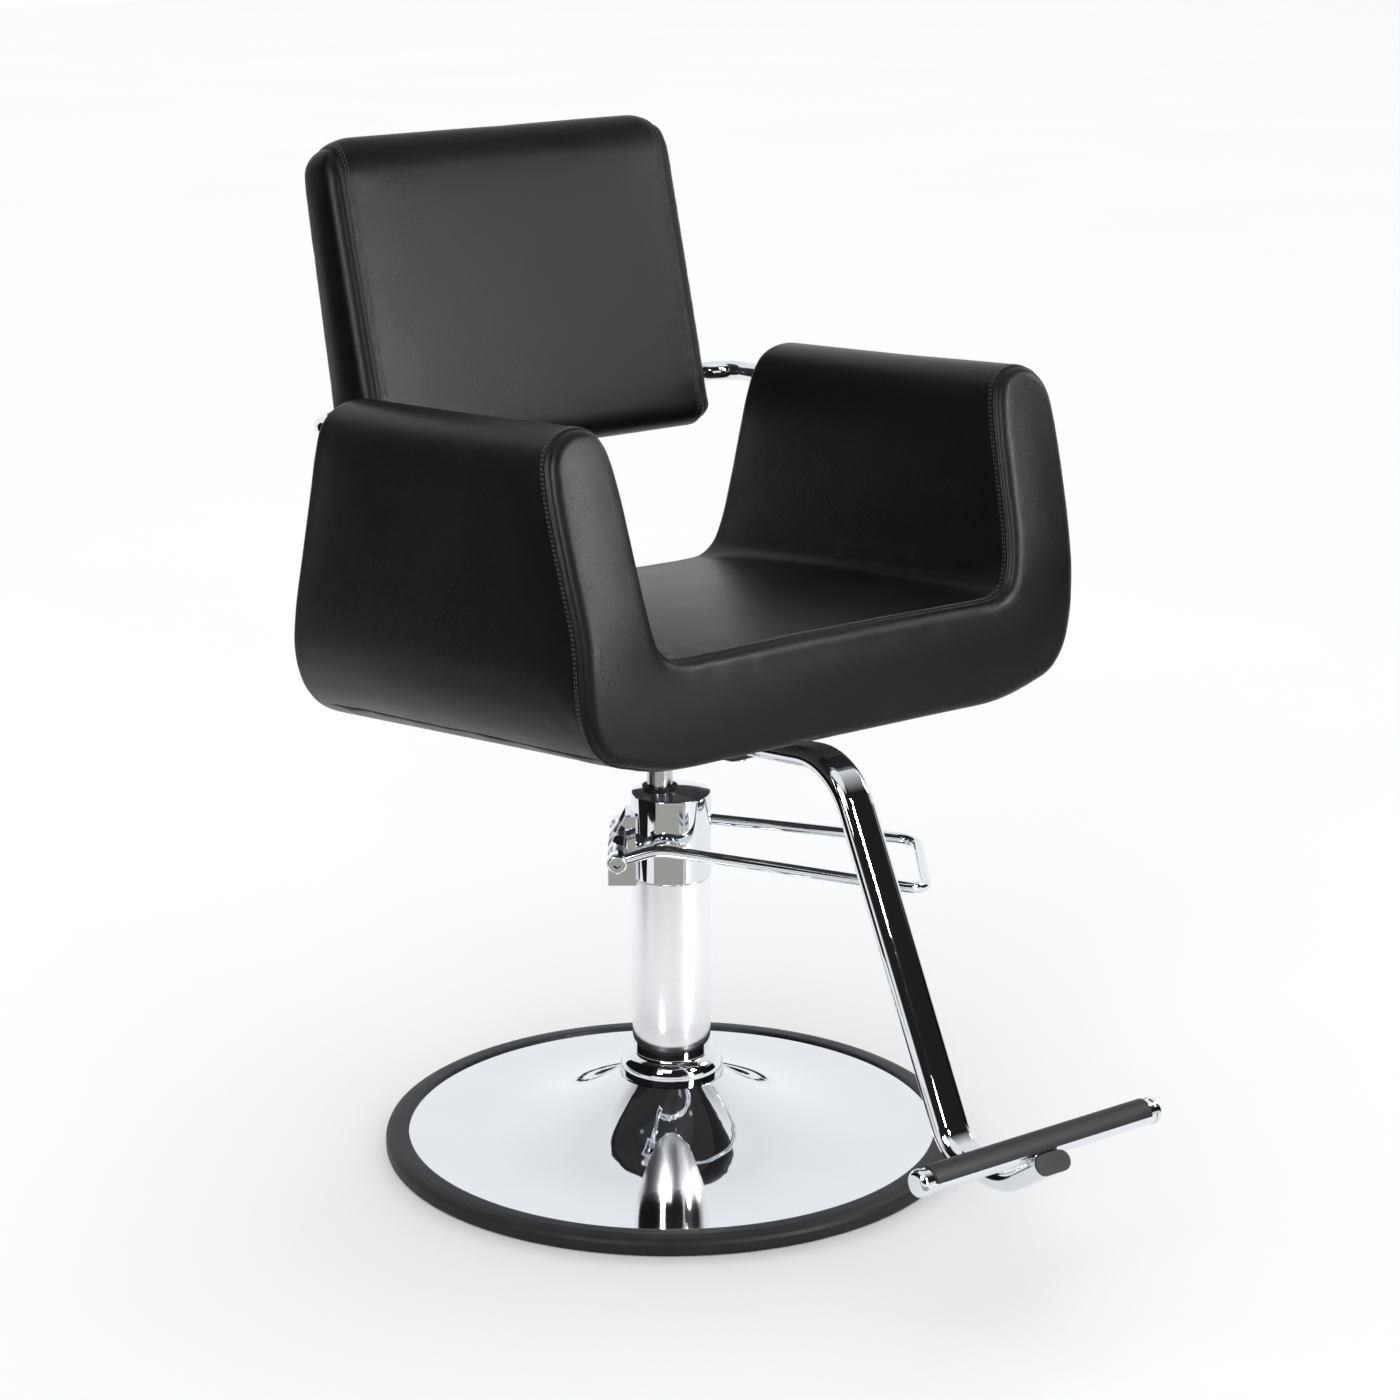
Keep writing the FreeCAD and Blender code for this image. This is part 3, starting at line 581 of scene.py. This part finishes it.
def stitch_mesh(rows, pitch=4.3, length=3.1, radius=0.52):
    """rows: lists of (points, normals) along seams, mm. Returns vertices and faces of single stitches."""
    V, F = [], []
    fr = np.array([-0.5, -0.34, 0.0, 0.34, 0.5])
    rad = np.array([0.35, 0.85, 1.0, 0.85, 0.35])
    dip = np.array([-0.42, -0.06, 0.10, -0.06, -0.42])
    k = 6
    ang = np.arange(k) * 2 * np.pi / k
    for P, N in rows:
        seg = np.linalg.norm(np.diff(P, axis=0), axis=1)
        s = np.concatenate([[0], np.cumsum(seg)])
        m = int(s[-1] / pitch)
        at = (np.arange(m) + 0.5) * s[-1] / m
        for a in at:
            L = length * 0.5
            g = lambda q, X: np.array([np.interp(q, s, X[:, i]) for i in range(3)])
            c, n = g(a, P), g(a, N)
            t = g(min(a + L, s[-1]), P) - g(max(a - L, 0), P)
            t /= max(np.linalg.norm(t), 1e-9)
            n = n - t * (n @ t)
            n /= max(np.linalg.norm(n), 1e-9)
            b = np.cross(t, n)
            # single stitches lie a little askew, as a lock stitch does
            t2 = t * math.cos(0.06) + b * math.sin(0.06)
            b2 = np.cross(t2, n)
            base = len(V)
            for f, r, dz in zip(fr, rad, dip):
                o = c + t2 * (f * length) + n * (dz + radius * 0.35)
                for q in ang:
                    V.append(o + b2 * (math.cos(q) * r * radius) + n * (math.sin(q) * r * radius))
            for i in range(len(fr) - 1):
                for j in range(k):
                    F.append((base + i * k + j, base + i * k + (j + 1) % k, base + (i + 1) * k + (j + 1) % k, base + (i + 1) * k + j))
            F.append(tuple(base + j for j in reversed(range(k))))
            F.append(tuple(base + (len(fr) - 1) * k + j for j in range(k)))
    return np.array(V), F


# ---------------------------------------------------------------- seat and arms: one U-shaped upholstered body
# half outline, front face and rear face, from the middle of the underside round the arm to the middle of the seat
TUB = [
    ((0, 508), (0, 447.3)), ((70, 508), (70, 447.3)), ((140, 508), (140, 447.3)), ((185, 508), (185, 447.3)),
    ((212, 510), (212, 448)), ((243, 521), (236, 451)), ((259, 531), (257, 463)), ((271, 548), (275, 485)),
    ((280, 568), (289, 512)), ((288, 603), (296, 535)), ((293, 642), (299.5, 565)), ((297.5, 701), (302, 632)),
    ((299.3, 753), (303, 700)), ((299, 778), (303, 740)), ((295, 805), (300, 766)), ((287, 818), (292, 778)),
    ((275, 826.5), (280, 785)), ((261, 830), (264, 787.5)), ((248, 827), (249, 785)), ((238.5, 818), (239, 777.5)),
    ((231.5, 802), (232.5, 765)), ((227, 775), (229, 743)), ((222.5, 722), (228.3, 700)), ((218, 662), (228, 640)),
    ((214, 639), (225, 592)), ((208, 623), (219.5, 571)), ((197, 614.8), (206, 558.8)), ((180, 613), (186, 556.6)),
    ((150, 613.2), (150, 556.4)), ((100, 613.6), (100, 557)), ((50, 614), (50, 557.5)), ((0, 614), (0, 557.5)),
]
TF = np.array([a for a, b in TUB], float)
TR = np.array([b for a, b in TUB], float)
# the stuffed covers stand out a little more on the arms' outer sides and tops than the foam under them
for T in (TF, TR):
    T[:, 0] += np.clip((T[:, 0] - 238) / 32, 0, 1) * (4.2 + 3.6 * np.clip((680 - T[:, 1]) / 110, 0, 1))
    T[:, 1] += 3.0 * np.clip((T[:, 1] - 735) / 40, 0, 1)
    T[:5, 1] -= 0.9  # the cover runs just under the seat board
TF[5:10, 0] += [1.5, 4.5, 6.0, 5.5, 3.0]
TF[5:9, 1] -= [3.5, 5.0, 5.0, 3.0]
SEAM_BACK = 9.0  # the front seam lies this far behind the front face
P_BOTTOM = 6.3  # where the lower seam runs along the outline


def yf(z):
    return -286.0 + 0.2929 * softplus(z - 640.0, 13.0)


def yr(z):
    line = 256.0 - 0.28015 * (z - 430.0)
    up = np.maximum(z - 785.0, 0)
    dn = np.maximum(492.0 - z, 0)
    return line - 0.5 * up**2 / 30.0 - 0.5 * dn**2 / 160.0


# parameters along the half outline, closer together beside the lower seam
pp = np.linspace(0, len(TUB) - 1, 2400)
mid = spline(TF * 0.62 + TR * 0.38, pp)
arc = np.concatenate([[0], np.cumsum(np.linalg.norm(np.diff(mid, axis=0), axis=1))])
s_seam = np.interp(P_BOTTOM, pp, arc)
half_n = 218
ss = np.linspace(0, arc[-1], half_n)
ss = ss[np.abs(ss - s_seam) > 4.5]
ss = np.sort(np.concatenate([ss, s_seam + np.array([-3.6, -2.3, -1.3, -0.6, 0, 0.6, 1.3, 2.3, 3.6])]))
p_half = np.interp(ss, arc, pp)
nh = len(p_half)
# loop order: right half from the underside's middle to the seat's middle, then the left half back again
par = np.concatenate([p_half, p_half[::-1][1:-1]])
side_sign = np.concatenate([np.ones(nh), -np.ones(nh - 2)])
s_par = np.concatenate([ss, ss[::-1][1:-1]])
LF = spline(TF, par)
LR = spline(TR, par)
LF[:, 0] *= side_sign
LR[:, 0] *= side_sign
LF, LR = smooth_loop(LF, 2, 0.4), smooth_loop(LR, 2, 0.4)
NU = len(par)


def tub_ring(yfun):
    """The outline at the y that yfun(z) gives, solved point by point."""
    z = LF[:, 1].copy()
    for _ in range(6):
        y = yfun(z)
        t = (y + 286.0) / 533.0
        Q = LF + (LR - LF) * t[:, None]
        z = Q[:, 1]
    return Q, yfun(z)


GS = [0, 0.7, 1.4, 2.2, 3.2, 4.4, 5.4, 6.3, 7.4, 8.4, 9.4, 10.6, 13, 17, 22]
GI = [2.6, 1.6, 0.8, 0.3, 0.08, 0.2, 0.42, 0.26, 0.22, 0.42, 0.24, 0.12, 0.05, 0.01, 0.0]
n_mid = 82
R_REAR = 7.5
arcs = np.radians([0, 12, 24, 36, 48, 60, 72, 80])
rows = []
for s, i in zip(GS, GI):
    rows.append(("front", s, i))
for k in range(1, n_mid):
    rows.append(("mid", k / n_mid, 0.0))
for a in arcs:
    rows.append(("rear", a, 0.0))
NV = len(rows)
n_front_rows = len(GS)

G = np.zeros((NV, NU, 3))
INS = np.zeros(NV)
# on the underside the cover is only folded over, so the welt fades there
face_w = np.clip((s_par - 190.0) / 30.0, 0, 1)
for j, (kind, a, ins) in enumerate(rows):
    if kind == "front":
        Q, y = tub_ring(lambda z: yf(z) + SEAM_BACK + a)
        ins_u = ins * (0.35 + 0.65 * face_w)
    elif kind == "mid":
        Q, y = tub_ring(lambda z: (yf(z) + SEAM_BACK + GS[-1]) * (1 - a) + (yr(z) - R_REAR) * a)
        ins_u = 0.0
    else:
        Q, y = tub_ring(lambda z: yr(z) - R_REAR + R_REAR * math.sin(a))
        ins_u = R_REAR * (1 - math.cos(a))
        if a > math.radians(75):
            ins_u = ins_u + 1.2
    nrm = loop_normals(Q)
    nrm = smooth_loop(nrm, 3, 0.5)
    nrm /= np.linalg.norm(nrm, axis=1)[:, None]
    Q = Q - nrm * np.broadcast_to(ins_u, (NU,))[:, None]
    G[j, :, 0] = Q[:, 0]
    G[j, :, 1] = y
    G[j, :, 2] = Q[:, 1]

# the lower seam: a narrow groove that wanders a little, with the panel below it slightly puckered
ds = s_par - s_seam
yy = G[:, :, 1]
fade = np.clip((yy + 276.0) / 12.0, 0, 1) * np.clip((212.0 - yy) / 20.0, 0, 1)
n3 = np.zeros_like(G)
for j in range(NV):
    q = loop_normals(G[j][:, [0, 2]])
    n3[j, :, 0], n3[j, :, 2] = q[:, 0], q[:, 1]
t3 = np.stack([-n3[:, :, 2], np.zeros_like(yy), n3[:, :, 0]], 2) * side_sign[None, :, None]
wander = wave(yy + 900 * (side_sign[None] > 0), 0 * yy, 3, 60, 260, 7) * 1.5
G += t3 * (wander * np.exp(-(ds[None] / 16.0) ** 2) * fade)[:, :, None]
G -= n3 * (2.1 * np.exp(-(ds[None] / 1.25) ** 2) * fade)[:, :, None]
below = np.exp(-((ds[None] + 9.0) / 9.0) ** 2) * fade
G += n3 * (wave(yy, 0.6 * s_par[None] + 500 * (side_sign[None] > 0), 5, 38, 110, 9) * 0.8 * below)[:, :, None]
# faint puckers where the cover is drawn into the front seam
sdist = np.zeros_like(yy)
for j in range(NV):
    sdist[j] = G[j, :, 1] - G[0, :, 1]
along = s_par[None] * np.where(side_sign[None] > 0, 1, -1) + 0 * yy
pk = wave(along, 0.35 * sdist, 11, 11, 34, 12) * np.exp(-(sdist / 15.0)) * np.clip(sdist / 2.0, 0, 1)
G += n3 * (pk * 0.20 * face_w[None])[:, :, None]

V = G.reshape(-1, 3)
F = []
for j in range(NV - 1):
    for i in range(NU):
        i2 = (i + 1) % NU
        F.append((j * NU + i, (j + 1) * NU + i, (j + 1) * NU + i2, j * NU + i2))

# front band: crowned between its seams
ew = np.full(NU, 10.5)
V2, H, F2, nb, dd = cap_fill(G[0][:, [0, 2]], ew, 7.2, 3.6, spacing=5.0)
slope = 0.2929 / (1 + np.exp(-(V2[:, 1] - 640.0) / 13.0))
nl = np.sqrt(1 + slope**2)
ybase = yf(V2[:, 1]) + SEAM_BACK
ybase[:nb] = G[0][:, 1]
side = V2[:, 0]
pk2 = wave(V2[:, 0], V2[:, 1], 21, 12, 40, 12) * np.exp(-dd / 9.0) * np.clip(dd / 3.0, 0, 1) * 0.22
H = H + pk2
FC = np.stack([V2[:, 0], ybase - H / nl, V2[:, 1] + H * slope / nl], 1)
FC[:nb] = G[0]
off = len(V)
idx = np.concatenate([np.arange(NU), off + np.arange(len(FC) - nb)])
V = np.vstack([V, FC[nb:]])
F += [tuple(int(idx[k]) for k in f) for f in F2]
band_from = off
# rear face
last = (NV - 1) * NU
V2, H, F2, nb, dd = cap_fill(G[-1][:, [0, 2]], np.full(NU, 7.0), 3.0, 2.2, spacing=6.0, rings=(0.8, 2.0, 3.8, 6.2))
slope_r = -0.28015
ybase = G[-1][:, 1].copy()
allz = V2[:, 1]
yb = yr(allz) - R_REAR + R_REAR * math.sin(arcs[-1])
# the loop has been inset, so carry the loop's own offset into the fill smoothly
dq = ((V2[:, None, :] - V2[None, :nb, :]) ** 2).sum(2)
wq = 1.0 / (dq + 9.0) ** 1.5
yb = yb + (wq * (G[-1][:, 1] - yb[:nb])[None]).sum(1) / wq.sum(1)
RC = np.stack([V2[:, 0], yb + H * 0.96, V2[:, 1] + H * 0.27], 1)
RC[:nb] = G[-1]
off = len(V)
idx = np.concatenate([last + np.arange(NU), off + np.arange(len(RC) - nb)])
V = np.vstack([V, RC[nb:]])
F += [tuple(int(idx[k]) for k in reversed(f)) for f in F2]

seam_pts = np.vstack([G[0], G[-1]])


def tub_pinned(P):
    d = np.full(len(P), 1e9)
    for k in range(0, len(P), 4000):
        q = ((P[k : k + 4000, None, :] - seam_pts[None, ::2]) ** 2).sum(2)
        d[k : k + 4000] = np.sqrt(q.min(1))
    t = (P[:, 1] + 286.0) / 533.0
    under = P[:, 2] < (508.0 - 60.7 * t + 9.0)
    return (d < 11.0) | under


def tub_cap(P):
    x, y, z = P[:, 0], P[:, 1], P[:, 2]
    ax = np.abs(x)
    c = np.full(len(P), 3.0)
    seat = (ax < 214) & (z > 530)
    c = np.where(seat, 7.0 * np.clip(1.05 - (ax / 230.0) ** 4, 0.15, 1), c)
    c = np.where(y < -276, 2.2, c)
    c = np.where((ax > 280) & (z < 560), 2.0, c)
    return c


at = relief(V, F, tub_pinned, tub_cap, voxel=6.5)
mv = at(V)
seat_like = (np.abs(V[:, 0]) < 214) & (V[:, 2] > 530)
V = V + mv
V[:, 0] += OX
tub = make_obj("seat_and_arm_upholstery", V, F, M["vinyl"])
place(tub, "seat", ("seat_cushion", "arm_left", "arm_right", "seat_foam", "arm_foam_left", "arm_foam_right"))

NT = vert_normals(V, F)
# stitching: two rows on the cover behind the front seam, from the lower edge over each arm and across the seat
st_rows = []
start_i = int(np.searchsorted(ss, s_seam + 4.0))
order = list(range(start_i, nh)) + list(range(nh, NU - start_i + 1))
for s_at in (5.4, 8.4):
    j = GS.index(s_at)
    ids = [j * NU + i for i in order]
    st_rows.append((V[ids], NT[ids]))
sv, sf = stitch_mesh(st_rows)
seat_st = make_obj("seat_and_arm_stitching", sv, sf, M["thread"])
place(seat_st, "seat")


# ---------------------------------------------------------------- back cushion
def bfront(z):
    return 212.0 + (z - 773.0) * 0.275


def brear(z):
    return 287.0 + (z - 773.0) * 0.2


BP = [
    (bfront(900), 900), (bfront(840), 840), (bfront(780), 780), (bfront(748), 748), (bfront(731), 731), (202.6, 717.5),
    (210, 709), (222, 705), (238, 704.5), (254, 705), (266, 708.5), (274.5, 717), (brear(735), 735), (brear(760), 760),
    (brear(840), 840), (brear(920), 920), (brear(975), 975), (brear(990) - 0.8, 990), (brear(1004) - 4.0, 1004), (324.5, 1016.5),
    (316.5, 1025.5), (306, 1031.2), (296.5, 1031.6), (288.5, 1027.0), (281.5, 1017), (bfront(1003), 1003), (bfront(985), 985), (bfront(940), 940),
]
BP = [(y + 7.0 * min(max((y - bfront(z)) / (brear(z) - bfront(z)), 0), 1), z) for y, z in BP]
BPc = np.array(BP + [BP[0]], float)
# closed spline by repeating the ends
ext = np.vstack([BPc[-3:-1], BPc, BPc[1:3]])
qq = np.linspace(2, 2 + len(BP), 3000)
dense = spline(ext, qq)
arcb = np.concatenate([[0], np.cumsum(np.linalg.norm(np.diff(dense, axis=0), axis=1))])
NB = 176
sb = np.arange(NB) * arcb[-1] / NB
BL = np.stack([np.interp(sb, arcb, dense[:, 0]), np.interp(sb, arcb, dense[:, 1])], 1)
BL = smooth_loop(BL, 2, 0.4)
bn = loop_normals(BL)
XS = 199.5
xs_edge = np.array([0, 0.7, 1.4, 2.2, 3.2, 4.4, 5.4, 6.3, 7.4, 8.4, 9.4, 10.6, 13, 17, 22])
ins_edge = np.array([2.5, 1.5, 0.75, 0.3, 0.08, 0.2, 0.42, 0.26, 0.22, 0.42, 0.24, 0.12, 0.05, 0.01, 0.0])
midx = np.linspace(-XS + 22, XS - 22, 74)[1:-1]
xrow = np.concatenate([-XS + xs_edge, midx, XS - xs_edge[::-1]])
irow = np.concatenate([ins_edge, 0 * midx, ins_edge[::-1]])
NX = len(xrow)
B = np.zeros((NX, NB, 3))
tb = np.abs(bn[:, 1]) ** 1.5
for j, (x, ins) in enumerate(zip(xrow, irow)):
    over = max(abs(x) - 189.0, 0.0)
    corner = 28.0 - math.sqrt(28.0**2 - over**2)
    over_t = max(abs(x) - 172.0, 0.0)
    corner_t = 52.0 - math.sqrt(52.0**2 - over_t**2)
    # the top edge rises a little towards the middle, as a stuffed cover does, and its corners are softer
    Q = BL - bn * (ins + np.where(bn[:, 1] > 0, corner_t, corner) * tb)[:, None]
    Q[:, 1] += 1.0 * (1 - (x / XS) ** 2) * (BL[:, 1] > 1000)
    B[j, :, 0], B[j, :, 1], B[j, :, 2] = x, Q[:, 0], Q[:, 1]
sx = np.minimum(xrow + XS, XS - xrow)[:, None]
pkb = wave(sb[None] + 700 * (xrow[:, None] > 0), 0.35 * sx, 31, 11, 34, 12) * np.exp(-sx / 15.0) * np.clip(sx / 2.0, 0, 1) * 0.18
B[:, :, 1] += pkb * bn[None, :, 0]
B[:, :, 2] += pkb * bn[None, :, 1]
VB = B.reshape(-1, 3)
FB = []
for j in range(NX - 1):
    for i in range(NB):
        i2 = (i + 1) % NB
        FB.append((j * NB + i, j * NB + i2, (j + 1) * NB + i2, (j + 1) * NB + i))
for sgn, row in ((-1, 0), (1, NX - 1)):
    loop = B[row][:, [1, 2]]
    ewb = 11.0 + 10.0 * np.abs(loop_normals(loop)[:, 1]) ** 2
    V2, H, F2, nb, dd = cap_fill(loop, ewb, 13.0, 3.6, spacing=5.0)
    H = H + wave(V2[:, 0], V2[:, 1], 41 + row, 12, 40, 12) * np.exp(-dd / 9.0) * np.clip(dd / 3.0, 0, 1) * 0.2
    # the cover is drawn in round the tube where it enters
    dt = np.hypot(V2[:, 0] - 244.5, V2[:, 1] - 757.0)
    H = H - 2.6 * np.exp(-((dt / 19.0) ** 2)) * np.clip(dd / 6.0, 0, 1)
    C = np.stack([sgn * (XS + H), V2[:, 0], V2[:, 1]], 1)
    C[:nb] = B[row]
    off = len(VB)
    idx = np.concatenate([row * NB + np.arange(NB), off + np.arange(len(C) - nb)])
    VB = np.vstack([VB, C[nb:]])
    if sgn > 0:
        FB += [tuple(int(idx[k]) for k in f) for f in F2]
    else:
        FB += [tuple(int(idx[k]) for k in reversed(f)) for f in F2]
seam_b = np.vstack([B[0], B[-1]])


def back_pinned(P):
    q = ((P[:, None, :] - seam_b[None, ::2]) ** 2).sum(2)
    return np.sqrt(q.min(1)) < 11.0


def back_cap(P):
    front = P[:, 1] < (bfront(P[:, 2]) + brear(P[:, 2])) / 2
    c = np.where(front, 4.5, 3.0)
    c = np.where((P[:, 2] < 716) | (P[:, 2] > 1020), 2.0, c)
    return np.where(np.abs(P[:, 0]) > 205, 1.8, c)


atb = relief(VB, FB, back_pinned, back_cap, voxel=6.0)
VB = VB + atb(VB)
VB[:, 0] += OX
back = make_obj("back_upholstery", VB, FB, M["vinyl"])
place(back, "seat", ("back_cushion", "back_foam"))
NBk = vert_normals(VB, FB)
st_rows = []
# round the front, top and bottom, not down the rear face
f_ids = [i for i in range(NB)]
on_front = (BL[:, 0] < (bfront(BL[:, 1]) + brear(BL[:, 1])) / 2 + 12)
start = next(i for i in range(NB) if on_front[i] and not on_front[i - 1])
seq = []
i = start
while on_front[i % NB] and len(seq) < NB:
    seq.append(i % NB)
    i += 1
for s_at in (5.4, 8.4):
    for row in (int(np.argmin(np.abs(xs_edge - s_at))), NX - 1 - int(np.argmin(np.abs(xs_edge - s_at)))):
        ids = [row * NB + i for i in seq]
        st_rows.append((VB[ids], NBk[ids]))
sv, sf = stitch_mesh(st_rows)
back_st = make_obj("back_stitching", sv, sf, M["thread"])
place(back_st, "seat")


# ---------------------------------------------------------------- floor, light, camera
def stage():
    me = bpy.data.meshes.new("floor")
    s = 14.0
    me.from_pydata([(-s, -s, 0), (s, -s, 0), (s, s, 0), (-s, s, 0)], [], [(0, 1, 2, 3)])
    fl = bpy.data.objects.new("floor", me)
    scene.collection.objects.link(fl)
    fl.location = (0, 0, -0.0002)
    m, nt, b = new_mat("pale_floor")
    v = coords(nt)
    n = noise(nt, v, 1.2, 3.0)
    nt.links.new(ramp(nt, n, [(0.3, (0.86, 0.865, 0.87)), (0.7, (0.875, 0.88, 0.885))]), b.inputs["Base Color"])
    b.inputs["Roughness"].default_value = 0.7
    b.inputs["Specular IOR Level"].default_value = 0.2
    me.materials.append(m)


stage()

w = bpy.data.worlds.new("studio")
scene.world = w
w.use_nodes = True
nt = w.node_tree
bg = nt.nodes["Background"]
tc = nt.nodes.new("ShaderNodeTexCoord")
sep = nt.nodes.new("ShaderNodeSeparateXYZ")
nt.links.new(tc.outputs["Generated"], sep.inputs["Vector"])
# away from the viewer's side the sweep is bright, overhead and behind the viewer the room is dimmer
dot = nt.nodes.new("ShaderNodeVectorMath")
dot.operation = "DOT_PRODUCT"
dot.inputs[1].default_value = (0.6, 0.8, 0.0)
nt.links.new(tc.outputs["Generated"], dot.inputs[0])
back_side = remap(nt, dot.outputs["Value"], 0.0, 0.45, 0.0, 1.0)
height = ramp(nt, sep.outputs["Z"], [(0.0, 0.385), (0.07, 0.34), (0.15, 0.006), (0.78, 0.006), (0.88, 0.36), (1.0, 0.37)])
height_b = ramp(nt, sep.outputs["Z"], [(0.0, 0.385), (0.40, 0.375), (0.7, 0.34), (1.0, 0.36)])
mx = nt.nodes.new("ShaderNodeMix")
mx.data_type = "RGBA"
nt.links.new(back_side, mx.inputs["Factor"])
nt.links.new(height, mx.inputs["A"])
nt.links.new(height_b, mx.inputs["B"])
tint = nt.nodes.new("ShaderNodeMix")
tint.data_type = "RGBA"
tint.blend_type = "MULTIPLY"
tint.inputs["Factor"].default_value = 1.0
nt.links.new(mx.outputs["Result"], tint.inputs["A"])
tint.inputs["B"].default_value = (0.955, 0.975, 1.0, 1.0)
nt.links.new(tint.outputs["Result"], bg.inputs["Color"])
bg.inputs["Strength"].default_value = 2.7


def area(name, loc, target, size, power, sy=None, color=(1, 1, 1)):
    l = bpy.data.lights.new(name, "AREA")
    l.shape = "RECTANGLE"
    l.size = size
    l.size_y = sy or size
    l.energy = power
    l.color = color
    o = bpy.data.objects.new(name, l)
    scene.collection.objects.link(o)
    o.location = loc
    d = Vector(target) - Vector(loc)
    o.rotation_euler = d.to_track_quat("-Z", "Y").to_euler()
    o.visible_camera = False
    return o


area("key", (-2.4, -2.0, 3.0), (0, 0, 0.6), 1.5, 22, 1.5)
boxes = [
    area("softbox_low", (0.64, -1.79, 1.40), (-0.2, -0.2, 0.78), 0.30, 38, 0.40),
    area("strip_low", (0.24, -1.92, 0.60), (-0.1, -0.2, 0.55), 0.30, 24, 0.70),
    area("softbox_high", (1.36, -0.70, 1.40), (0.1, 0.2, 0.85), 0.40, 9, 0.42),
    area("strip_left", (-1.80, -0.85, 1.40), (-0.2, 0.2, 0.85), 0.4, 36, 0.9),
]
for o in boxes:
    o.visible_diffuse = False
overhead = area("overhead", (0.0, 8.0, 7.5), (0, 8.0, 0), 46.0, 4100, 46.0)
overhead.visible_glossy = False


# studio cards that only reflections see: black flags beside the chair and a warm grey one before it
def card(name, pts, colour):
    me = bpy.data.meshes.new(name)
    me.from_pydata(pts, [], [tuple(range(len(pts)))])
    ob = bpy.data.objects.new(name, me)
    scene.collection.objects.link(ob)
    m, nt, b = new_mat(name)
    b.inputs["Base Color"].default_value = (*colour, 1)
    b.inputs["Roughness"].default_value = 0.9
    b.inputs["Specular IOR Level"].default_value = 0.0
    me.materials.append(m)
    ob.visible_camera = False
    ob.visible_diffuse = False
    ob.visible_shadow = False
    ob.visible_transmission = False


card("flag_left", [(-0.85, -0.15, 0.1), (-0.85, 2.4, 0.1), (-0.85, 2.4, 1.5), (-0.85, -0.15, 1.5)], (0.008, 0.008, 0.008))
card("flag_right", [(1.35, -3.4, 0.01), (3.6, -3.4, 0.01), (3.6, -0.6, 0.01), (1.35, -0.9, 0.01)], (0.02, 0.02, 0.02))
card("flag_low_left", [(-2.4, 0.3, 0.004), (-0.75, 0.3, 0.004), (-0.75, 2.6, 0.004), (-2.4, 2.6, 0.004)], (0.01, 0.01, 0.01))
card("flag_far_right", [(1.88, -2.59, 0.0), (3.09, -0.83, 0.0), (3.09, -0.83, 1.25), (1.88, -2.59, 1.25)], (0.008, 0.008, 0.008))
arc_pts = [(math.cos(math.radians(a)), math.sin(math.radians(a))) for a in range(-176, -78, 7)]
card(
    "grey_front",
    [(1.5 * c, 1.5 * s_, 0.006) for c, s_ in arc_pts] + [(0.78 * c, 0.78 * s_, 0.006) for c, s_ in reversed(arc_pts)],
    (0.34, 0.335, 0.30),
)

cam_d = bpy.data.cameras.new("camera")
cam_d.sensor_width = 36.0
cam_d.lens = 90.17
cam_d.clip_end = 200
cam = bpy.data.objects.new("camera", cam_d)
scene.collection.objects.link(cam)
cam.location = (-2.0354, -2.7684, 1.4422)
cam.rotation_euler = (math.radians(74.33), 0, math.radians(-36.82))
scene.camera = cam
scene.view_settings.view_transform = "Standard"
scene.view_settings.look = "None"
